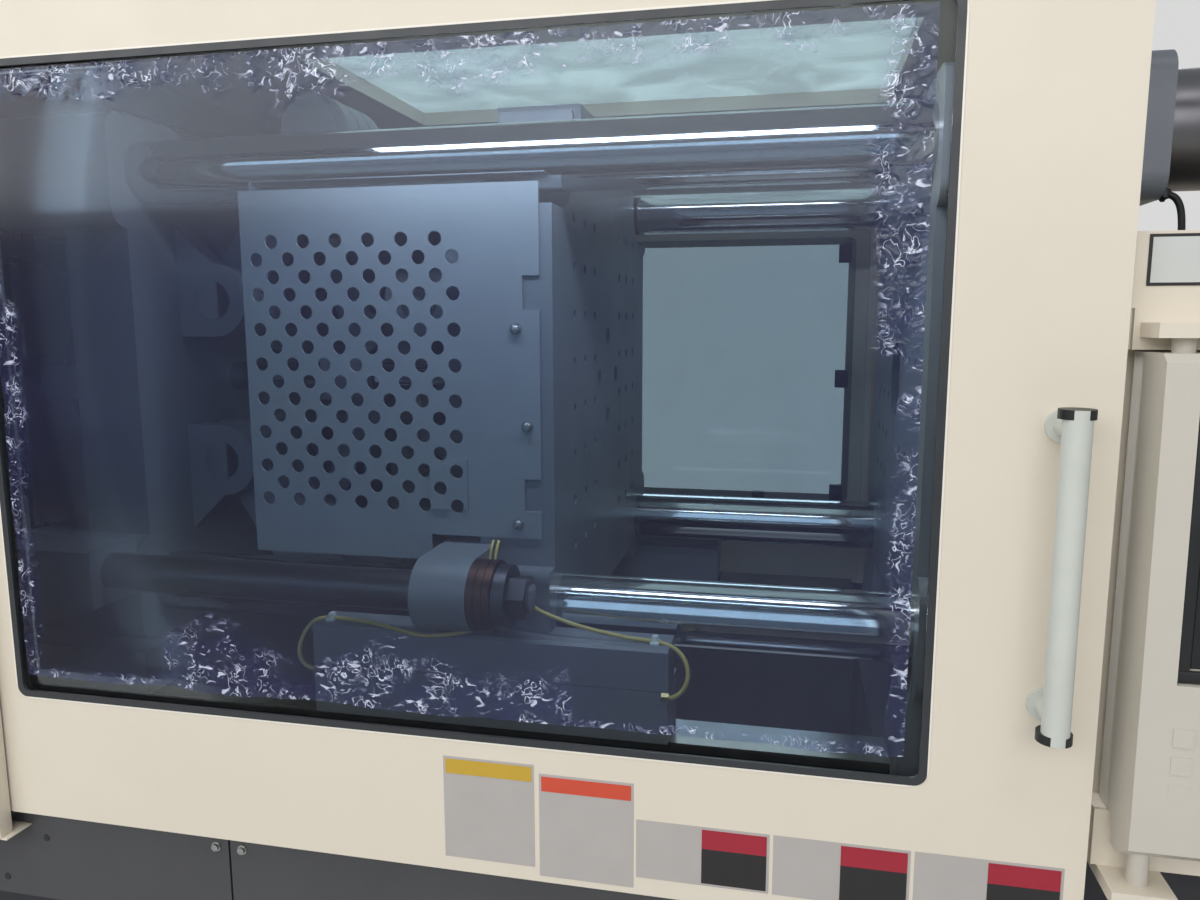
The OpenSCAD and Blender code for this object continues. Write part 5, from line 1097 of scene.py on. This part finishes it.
@dataclass
class RightSideTrim:
    """Blank sign plate on its dark foot, and the black cable that comes down beside the upper tie bar's nut."""

    plate: tuple = ((-74.0, 1308.0), (40.0, 1357.0))
    plate_y: float = -590.2
    margin: float = 3.0
    cable_width: float = 8.0
    cable: tuple = ((4.0, -378.0, 1420.0), (16.0, -380.0, 1420.0), (25.0, -381.0, 1411.0), (29.0, -380.0, 1392.0),
                    (31.0, -378.0, 1365.0), (33.0, -373.0, 1335.0), (30.0, -366.0, 1306.0), (18.0, -361.0, 1292.0),
                    (4.0, -360.0, 1292.0))
    gland_x: tuple = (4.8, 10.0, 14.0)

    def build(self, shop: Workshop) -> None:
        """Builds the plate, the cable and the glands that it goes into.

        Args:
            shop: Workshop that makes the pieces.
        """
        plate, edge = bmesh.new(), bmesh.new()
        (x0, z0), (x1, z1) = self.plate
        add_block(edge, (x0, self.plate_y - 0.8, z0), (x1, self.plate_y, z1), bevel=0.2)
        add_block(plate, (x0 + self.margin, self.plate_y - 1.4, z0 + self.margin),
                  (x1 - self.margin, self.plate_y - 0.8, z1 - self.margin))
        shop.piece("sign_plate_edge", edge, BLACK_PRINT, "frame", smooth=False)
        shop.piece("sign_plate_face", plate, PALE_VINYL, "frame", smooth=False)
        sweep_tube("platen_cable", list(self.cable), self.cable_width, shop, CABLE, "frame")
        glands = bmesh.new()
        seat, shoulder, mouth = self.gland_x
        for _, y, z in (self.cable[0], self.cable[-1]):
            add_hex(glands, (seat, y, z), (shoulder, y, z), 16)
            add_round(glands, (shoulder, y, z), (mouth, y, z), 14, sides=28, end_width=11)
        shop.piece("platen_cable_glands", glands, BLACK_ABS, "frame")


def add_frame(shape: Shape, low: tuple, high: tuple, bar: tuple, near: float, far: float, bevel: float) -> None:
    """Adds a frame of four bars that stands upright and faces along Y.

    Args:
        shape: Mesh that gets it.
        low: Its left and lower edge, in millimetres.
        high: Its right and upper edge.
        bar: Width of the upright bars and height of the lying ones.
        near: Place of its lower side along Y.
        far: Place of its higher side along Y.
        bevel: Width of the bars' rounded edges.
    """
    (x0, z0), (x1, z1), (wide, tall) = low, high, bar
    for a, b in (((x0, z0), (x1, z0 + tall)), ((x0, z1 - tall), (x1, z1)),
                 ((x0, z0 + tall), (x0 + wide, z1 - tall)), ((x1 - wide, z0 + tall), (x1, z1 - tall))):
        add_block(shape, (a[0], near, a[1]), (b[0], far, b[1]), bevel=bevel)


@dataclass
class PanelTrim:
    """Screen glass with its bezel, and the yellow collar round the stop button of the operator's panel."""

    screen: tuple = ((-43.0, 934.0), (307.0, 1242.0))
    front_y: float = -649.0
    bezel: float = 11.0
    proud: float = 6.0
    glass_inset: float = 14.0
    stop: Vector = field(default_factory=lambda: Vector((295.0, -663.0, 778.0)))
    collar: float = 24.0
    rings: tuple = ((0.93, -1.5), (0.80, -1.5), (0.76, 0.0))

    def build(self, shop: Workshop) -> None:
        """Builds the glass, its bezel and the collar.

        Args:
            shop: Workshop that makes the pieces.
        """
        (x0, z0), (x1, z1) = self.screen
        glass, bezel, collar = bmesh.new(), bmesh.new(), bmesh.new()
        inset, back = self.glass_inset, self.front_y + 0.5
        add_block(glass, (x0 + inset, self.front_y - 1.5, z0 + inset), (x1 - inset, back, z1 - inset), bevel=0.6)
        shop.piece("screen_glass", glass, SCREEN_GLASS, "operator_panel")
        add_frame(bezel, (x0 + 1, z0 + 1), (x1 - 1, z1 - 1), (self.bezel, self.bezel), self.front_y - self.proud,
                  back, 0.8)
        shop.piece("screen_bezel", bezel, BLACK_ABS, "operator_panel")
        centre, radius = self.stop * MM, self.collar * MM
        row = bmesh.ops.create_circle(collar, cap_ends=False, segments=48, radius=radius,
                                      matrix=Matrix.Translation(centre) @ UPRIGHT)["verts"]
        for scale, rise in self.rings:
            inner = []
            for vert in row:
                flat = vert.co - centre
                flat.y = 0.0
                inner.append(collar.verts.new(centre + flat.normalized() * radius * scale + Vector((0, rise * MM, 0))))
            for k, vert in enumerate(row):
                collar.faces.new((vert, row[k - 1], inner[k - 1], inner[k]))
            row = inner
        shop.piece("stop_collar", collar, YELLOW_ABS, "operator_panel")


def add_screws(shape: Shape, places: Iterable[tuple], out: Vector, width: float = 12.0) -> None:
    """Adds button-head screws with a hexagon socket at places on a sheet.

    Args:
        shape: Mesh that gets them.
        places: Seats of the heads, in millimetres.
        out: Direction that the heads point, of length 1.
        width: Diameter of a head.
    """
    for place in places:
        seat = Vector(place)
        add_round(shape, seat - out * 0.4, seat + out * 1.4, width, sides=20, end_width=width * 0.8)
        add_round(shape, seat + out * 1.4, seat + out * 1.55, width * 0.42, sides=6)


def add_louvres(shape: Shape, x0: float, x1: float, z0: float, rows: int, y: float, out: int) -> None:
    """Adds pressed louvres, each a slanting lip over its slot, on a sheet that faces along Y.

    Args:
        shape: Mesh that gets them.
        x0: Lowest X of the rows, in millimetres.
        x1: Highest X of the rows.
        z0: Height of the lowest row.
        rows: Number of rows, LOUVRE_PITCH apart.
        y: Place of the sheet's face.
        out: Direction that the sheet faces along Y, -1 or 1.
    """
    for row in range(rows):
        z = z0 + row * LOUVRE_PITCH
        points = [(y, z + 12), (y + out * 5, z + 2), (y + out * 5, z), (y, z)]
        ends = [[shape.verts.new(Vector((x, a, b)) * MM) for a, b in points] for x in (x0, x1)]
        for k in range(4):
            shape.faces.new([ends[0][k], ends[0][(k + 1) % 4], ends[1][(k + 1) % 4], ends[1][k]])
        shape.faces.new(ends[0])
        shape.faces.new(ends[1][::-1])


@dataclass
class LeftCoverPanels:
    """Lift-off panels of the covers at the clamp's end, with their screws, louvres and finger holds."""

    face_y: float = 665.0
    thick: float = 2.0
    spans: tuple = ((-2560.0, -2042.0), (-2034.0, -1500.0))
    low: float = 640.0
    high: float = 1670.0
    inset: float = 22.0
    screw_z: float = 1155.0
    louvre_half: float = 150.0
    louvre_rows: int = 7
    louvre_rise: float = 90.0
    hold_half: float = 55.0
    hold_z: tuple = (1440.0, 1476.0)

    def build(self, shop: Workshop) -> None:
        """Builds the panels on the front and the rear.

        Args:
            shop: Workshop that makes the pieces.
        """
        panels, screws, holds = bmesh.new(), bmesh.new(), bmesh.new()
        heights = (self.low + self.inset, self.screw_z, self.high - self.inset)
        for out in (-1, 1):
            y = out * self.face_y
            face = y + out * self.thick
            for x0, x1 in self.spans:
                add_block(panels, (x0, min(y, face), self.low), (x1, max(y, face), self.high), bevel=0.8)
                add_screws(screws, [(x, face, z) for x in (x0 + self.inset, x1 - self.inset) for z in heights],
                           Vector((0, out, 0)))
                middle = (x0 + x1) / 2
                add_louvres(panels, middle - self.louvre_half, middle + self.louvre_half, self.low + self.louvre_rise,
                            self.louvre_rows, face, out)
                near, far = sorted((y + out * 1.9, y + out * 3.2))
                add_block(holds, (middle - self.hold_half, near, self.hold_z[0]),
                          (middle + self.hold_half, far, self.hold_z[1]), bevel=0.5)
        shop.piece("left_cover_panels", panels, CREAM, "frame")
        shop.piece("left_cover_screws", screws, ZINC, "frame")
        shop.piece("left_cover_holds", holds, BLACK_ABS, "frame")


@dataclass
class LeftCoverEdge:
    """Folded strip on the end of the clamp's front cover: it laps over the door's left side and turns in below it."""

    x: float = -1455.0
    width: float = 32.0
    foot: float = 9.0
    front_y: float = -642.0
    back_y: float = -623.0
    foot_y: float = -601.0
    low: float = 590.0
    high: float = 1722.0
    sheet: float = 2.0

    def build(self, shop: Workshop) -> None:
        """Builds the strip's face, its fold towards the door and its foot.

        Args:
            shop: Workshop that makes the piece.
        """
        strip = bmesh.new()
        start, end = self.x - 1, self.x + self.width
        for low, high in (
                ((start, self.front_y, self.low), (end, self.front_y + self.sheet, self.high)),
                ((end - self.sheet, self.front_y + 1, self.low), (end, self.back_y, self.high)),
                ((start, self.front_y, self.low), (end + self.foot, self.foot_y, self.low + self.sheet))):
            add_block(strip, low, high, bevel=0.6)
        shop.piece("left_cover_edge", strip, CREAM, "frame")


@dataclass
class RearPanels:
    """Service panels on the rear of the injection unit's base and of the fixed frame, with louvres and glands."""

    base_y: float = 590.0
    frame_y: float = 600.0
    thick: float = 2.0
    spans: tuple = ((540.0, 1215.0), (1225.0, 1900.0), (1910.0, 2560.0))
    span_z: tuple = (180.0, 800.0)
    louvre_z: tuple = (240.0, 620.0)
    louvre_inset: float = 120.0
    glands: int = 6
    first_gland: tuple = (40.0, 800.0)
    gland_pitch: float = 52.0

    def build(self, shop: Workshop) -> None:
        """Builds the panels, their screws and the row of cable glands.

        Args:
            shop: Workshop that makes the pieces.
        """
        dark, cream, screws, glands = bmesh.new(), bmesh.new(), bmesh.new(), bmesh.new()
        out = Vector((0, 1, 0))
        base_face, frame_face = self.base_y + self.thick, self.frame_y + self.thick
        for x0, x1 in self.spans:
            add_block(dark, (x0, self.base_y, self.span_z[0]), (x1, base_face, self.span_z[1]), bevel=0.8)
            for z in self.louvre_z:
                add_louvres(dark, x0 + self.louvre_inset, x1 - self.louvre_inset, z, 6, base_face, 1)
            add_screws(screws, [(x, base_face, z) for x in (x0 + 20, x1 - 20) for z in (200, 490, 780)], out)
        add_block(cream, (-110, self.frame_y, 740), (460, frame_face, 1330), bevel=0.8)
        add_louvres(cream, 40, 310, 1090, 8, frame_face, 1)
        add_screws(screws, [(x, frame_face, z) for x in (-92, 175, 442) for z in (758, 1312)], out)
        for k in range(self.glands):
            seat = Vector((self.first_gland[0] + k * self.gland_pitch, frame_face, self.first_gland[1]))
            add_hex(glands, seat, seat + out * 6, 30)
            add_round(glands, seat + out * 6, seat + out * 20, 26, sides=28, end_width=21)
            add_round(glands, seat + out * 20, seat + out * 34, 12, sides=20)
        shop.piece("rear_base_panels", dark, CHARCOAL, "frame")
        shop.piece("rear_frame_panel", cream, CREAM, "frame")
        shop.piece("rear_panel_screws", screws, ZINC, "frame")
        shop.piece("rear_cable_glands", glands, BLACK_ABS, "frame")


@dataclass
class RoofTrim:
    """Cover strips of the roof sheet, and the screws of the strips and of the frame round the pane."""

    sheet_z: float = 1677.0
    pane_z: float = 1704.0
    pane_x: tuple = (-1174, -236)
    pane_y: tuple = (-253, 253)
    pitch: int = 157
    side_y: tuple = (-90, 90)
    strips: tuple = (-2080.0, -1520.0)
    half_width: float = 20.0
    half_length: float = 540.0
    thick: float = 3.0
    strip_screws: tuple = (-500, -250, 0, 250, 500)

    def build(self, shop: Workshop) -> None:
        """Builds the roof's screws and its two cover strips.

        Args:
            shop: Workshop that makes the pieces.
        """
        screws, strips = bmesh.new(), bmesh.new()
        up = Vector((0, 0, 1))
        along = range(self.pane_x[0], self.pane_x[1] + self.pitch // 2, self.pitch)
        add_screws(screws, [(x, y, self.pane_z) for x in along for y in self.pane_y], up, 10)
        add_screws(screws, [(x, y, self.pane_z) for x in self.pane_x for y in self.side_y], up, 10)
        top = self.sheet_z + self.thick
        for x in self.strips:
            add_block(strips, (x - self.half_width, -self.half_length, self.sheet_z),
                      (x + self.half_width, self.half_length, top), bevel=0.8)
            add_screws(screws, [(x, y, top) for y in self.strip_screws], up)
        shop.piece("roof_strips", strips, CREAM, "frame")
        shop.piece("roof_screws", screws, ZINC, "frame")


@dataclass
class CabinetTrim:
    """Filter grilles of the control cabinet's doors."""

    face_y: float = -636.0
    corners: tuple = ((1200.0, 560.0, "left_cabinet_door"), (2280.0, 560.0, "right_cabinet_door"))
    side: float = 180.0
    bar: float = 14.0
    slats: int = 9
    slat_height: float = 9.0
    slat_pitch: float = 16.5

    def build(self, shop: Workshop) -> None:
        """Builds one grille on each door: its frame, the slats and the back behind them.

        Args:
            shop: Workshop that makes the pieces.
        """
        y = self.face_y
        for x, z, body in self.corners:
            grille = bmesh.new()
            x1, z1 = x + self.side, z + self.side
            add_frame(grille, (x, z), (x1, z1), (self.bar, self.bar), y - 9, y + 0.5, 1.5)
            for k in range(self.slats):
                z0 = z + 18 + k * self.slat_pitch
                add_block(grille, (x + 13, y - 6, z0), (x1 - 13, y - 2, z0 + self.slat_height))
            add_block(grille, (x + 10, y - 1.5, z + 10), (x1 - 10, y + 0.5, z1 - 10))
            shop.piece(body + "_grille", grille, GREY_ABS, body, smooth=False)


@dataclass
class BarrelWiring:
    """Clamp ears and screws of the heater bands, with leads to a conduit beside the barrel."""

    bands: int = 6
    first_x: float = -74.0
    pitch: float = 155.0
    width: float = 130.0
    inset: float = 22.0
    axis_z: float = 1180.0
    radius: float = 67.9
    leads: tuple = (3, 4, 5)
    lead: tuple = ((0, 82, 1206), (0, 98, 1206), (4, 108, 1204), (8, 112, 1194), (8, 112, 1180))
    lead_width: float = 7.0
    conduit_y: float = 112.0
    conduit_x: tuple = (396.0, 858.0)
    collars: tuple = (396.0, 620.0, 838.0)

    def build(self, shop: Workshop) -> None:
        """Builds the ears, the terminal covers, the leads and the conduit.

        Args:
            shop: Workshop that makes the pieces.
        """
        ears, screws, covers, conduit = bmesh.new(), bmesh.new(), bmesh.new(), bmesh.new()
        top = self.axis_z + self.radius
        for k in range(self.bands):
            x0 = self.first_x + k * self.pitch
            for x in (x0 + self.inset, x0 + self.width - self.inset):
                for y0, y1 in ((-9, -4), (4, 9)):
                    add_block(ears, (x - 10, y0, top - 3), (x + 10, y1, top + 13), bevel=0.8)
                add_round(screws, (x, -16, top + 6), (x, 14, top + 6), 5, sides=16)
                add_hex(screws, (x, -14, top + 6), (x, -9.2, top + 6), 9)
            add_block(covers, (x0 + 45, 60, self.axis_z + 12), (x0 + 85, 84, self.axis_z + 40), bevel=3.0)
        for k in self.leads:
            x0 = self.first_x + k * self.pitch + self.width / 2
            sweep_tube(f"band_lead_{k}", [(x0 + x, y, z) for x, y, z in self.lead], self.lead_width, shop, STAINLESS,
                       "carriage")
        for start, end, width in ((*self.conduit_x, 22), *((x, x + 18, 27) for x in self.collars)):
            add_round(conduit, (start, self.conduit_y, self.axis_z), (end, self.conduit_y, self.axis_z), width,
                      sides=28)
        shop.piece("band_ears", ears, BAND, "carriage")
        shop.piece("band_screws", screws, ZINC, "carriage")
        shop.piece("band_terminals", covers, STAINLESS, "carriage")
        shop.piece("barrel_conduit", conduit, RUBBER, "carriage")


@dataclass
class HopperTrim:
    """Sight glass and lid clips of the hopper, and the screws of the injection unit's cover."""

    front_y: float = -198.0
    low: tuple = (940.0, 1688.0)
    high: tuple = (1012.0, 1862.0)
    bar: tuple = (11.0, 12.0)
    clip_x: tuple = (830.0, 1122.0)
    cover_y: float = 300.0
    cover_x: tuple = (1100, 1320, 1540, 1818)
    cover_z: tuple = (912, 1375)

    def build(self, shop: Workshop) -> None:
        """Builds the glass, its frame, the clips and the screws.

        Args:
            shop: Workshop that makes the pieces.
        """
        glass, bars, screws, clips = bmesh.new(), bmesh.new(), bmesh.new(), bmesh.new()
        (x0, z0), (x1, z1), (wide, tall), y = self.low, self.high, self.bar, self.front_y
        add_block(glass, (x0 + wide, y - 2, z0 + tall), (x1 - wide, y + 0.2, z1 - tall), bevel=0.5)
        add_frame(bars, self.low, self.high, self.bar, y - 4, y + 0.2, 0.6)
        heights = (z0 + 6, (z0 + z1) / 2, z1 - 6)
        add_screws(screws, [(x, y - 4, z) for x in (x0 + 6, x1 - 6) for z in heights], Vector((0, -1, 0)), 7)
        for x in self.clip_x:
            add_block(clips, (x - 12, y - 4, 1828), (x + 12, y + 0.2, 1872), bevel=1.0)
            add_round(clips, (x, y - 7, 1838), (x, y - 7, 1880), 5, sides=16)
            add_block(clips, (x - 9, y - 11, 1832), (x + 9, y - 4, 1842), bevel=1.5)
        shop.piece("hopper_sight_glass", glass, SIGHT_GLASS, "carriage")
        shop.piece("hopper_sight_frame", bars, ALUMINIUM, "carriage")
        shop.piece("hopper_clips", clips, ZINC, "carriage")
        for out in (-1, 1):
            places = [(x, out * self.cover_y, z) for x in self.cover_x for z in self.cover_z]
            add_screws(screws, places, Vector((0, out, 0)), 11)
        shop.piece("injection_unit_screws", screws, ZINC, "carriage")


ASSEMBLIES: list = [
    WindowFilm(), WindowRim(), BlankPlates(), GuardScrews(), GreaseLines(), RearDoorLatches(), BaseScrews(),
    HandleEnds(), RightSideTrim(), PanelTrim(), LeftCoverPanels(), LeftCoverEdge(), RearPanels(), RoofTrim(),
    CabinetTrim(), BarrelWiring(), HopperTrim(),
]


@dataclass(frozen=True)
class Lamp:
    """Area light that points at a place and that the camera doesn't see; lengths in metres, power in watts."""

    name: str
    place: tuple
    aim: tuple
    size: tuple
    power: float
    tint: str = "#FFFFFF"

    def build(self) -> None:
        """Hangs the light and turns it to its aim."""
        data = bpy.data.lights.new(self.name, "AREA")
        data.shape, data.size, data.size_y = "RECTANGLE", self.size[0], self.size[1]
        data.energy, data.color = self.power, linear(self.tint)[:3]
        lamp = bpy.data.objects.new(self.name, data)
        lamp.visible_camera = False
        bpy.context.scene.collection.objects.link(lamp)
        place = Vector(self.place)
        toward = (Vector(self.aim) - place).normalized()
        lamp.matrix_world = Matrix.Translation(place) @ toward.to_track_quat("-Z", "Y").to_matrix().to_4x4()


LAMPS: tuple[Lamp, ...] = (
    Lamp("ceiling_light", (-0.8, -2.2, 4.6), (-0.4, 0.0, 1.0), (5.0, 1.4), 46.0),
    Lamp("front_light", (-2.2, -4.8, 3.05), (-1.6, 0.0, 1.9), (8.0, 2.2), 150.0),
    Lamp("rear_light", (-0.5, 4.2, 3.4), (-0.4, 0.0, 1.1), (4.5, 1.8), 120.0),
    # Daylight on the roof's pane alone: the paper on it spreads the light, and the sheet round it stays unlit.
    Lamp("roof_light", (-0.705, 0.0, 1.724), (-0.705, 0.0, 1.0), (0.95, 0.52), 4.8, "#F2F6FF"),
    # The machine's own lamp behind the door's upper edge.
    Lamp("inner_light", (-0.68, -0.5, 1.61), (-0.68, -0.25, 0.9), (0.75, 0.05), 3.9, "#F4F8FF"),
)


@dataclass
class Studio:
    """Pale floor, soft lights and the camera where the photograph was taken."""

    eye: Vector = field(default_factory=lambda: Vector((-403, -1565, 1275)) * MM)
    right: Vector = field(default_factory=lambda: Vector((0.9775, 0.2113, -0.0019)))
    upward: Vector = field(default_factory=lambda: Vector((-0.0279, 0.1386, 0.98995)))
    focal_px: float = 900.0
    width_px: float = 1200.0
    sensor_mm: float = 36.0
    floor_size: float = 9.0
    sky: str = "#E4E9EE"
    sky_strength: float = 0.5

    def build_camera(self) -> None:
        """Places the camera from the photograph's own geometry: 900 pixels of focal length on a 1200 pixel frame."""
        data = bpy.data.cameras.new("camera")
        data.sensor_fit, data.sensor_width = "HORIZONTAL", self.sensor_mm
        data.lens = self.sensor_mm * self.focal_px / self.width_px
        data.clip_start, data.clip_end = 0.05, 60.0
        camera = bpy.data.objects.new("camera", data)
        bpy.context.scene.collection.objects.link(camera)
        back = self.right.cross(self.upward).normalized()
        turn = Matrix((self.right.normalized(), self.upward.normalized(), back)).transposed()
        camera.matrix_world = Matrix.Translation(self.eye) @ turn.to_4x4()
        bpy.context.scene.camera = camera

    def build_world(self) -> None:
        """Fills the surroundings with even soft light, where the camera sees the pale backdrop instead."""
        world = bpy.data.worlds.new("world")
        bpy.context.scene.world = world
        world.use_nodes = True
        tree = world.node_tree
        tree.nodes.clear()
        seen = seen_by_camera(tree)
        soft = add_node(tree, "ShaderNodeBackground", {"Color": linear(self.sky), "Strength": self.sky_strength})
        pale = add_node(tree, "ShaderNodeBackground", {"Color": linear(BACKDROP), "Strength": 1.0})
        mix = add_node(tree, "ShaderNodeMixShader", {0: seen, 1: soft, 2: pale})
        add_node(tree, "ShaderNodeOutputWorld", {"Surface": mix})

    def build_floor(self, shop: Workshop) -> None:
        """Lays a pale workshop floor under the machine.

        Args:
            shop: Workshop that makes the finish.
        """
        shape = bmesh.new()
        bmesh.ops.create_grid(shape, x_segments=2, y_segments=2, size=self.floor_size)
        mesh = bpy.data.meshes.new("floor")
        shape.to_mesh(mesh)
        shape.free()
        floor = bpy.data.objects.new("floor", mesh)
        bpy.context.scene.collection.objects.link(floor)
        shop.dress(floor, SWEPT_FLOOR)

    def build(self, shop: Workshop) -> None:
        """Builds the whole studio.

        Args:
            shop: Workshop that makes the floor's finish.
        """
        self.build_camera()
        self.build_world()
        self.build_floor(shop)
        for lamp in LAMPS:
            lamp.build()
        bpy.context.scene.view_settings.view_transform = "Standard"


def main() -> None:
    """Dresses every solid, builds the small parts and sets up the studio."""
    logging.basicConfig(level=logging.INFO, format="%(message)s")
    shop = Workshop()
    for name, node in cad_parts.items():
        shop.dress(node, DRESS[name])
    for assembly in ASSEMBLIES:
        assembly.build(shop)
    Studio().build(shop)


if __name__ == "__main__":
    main()
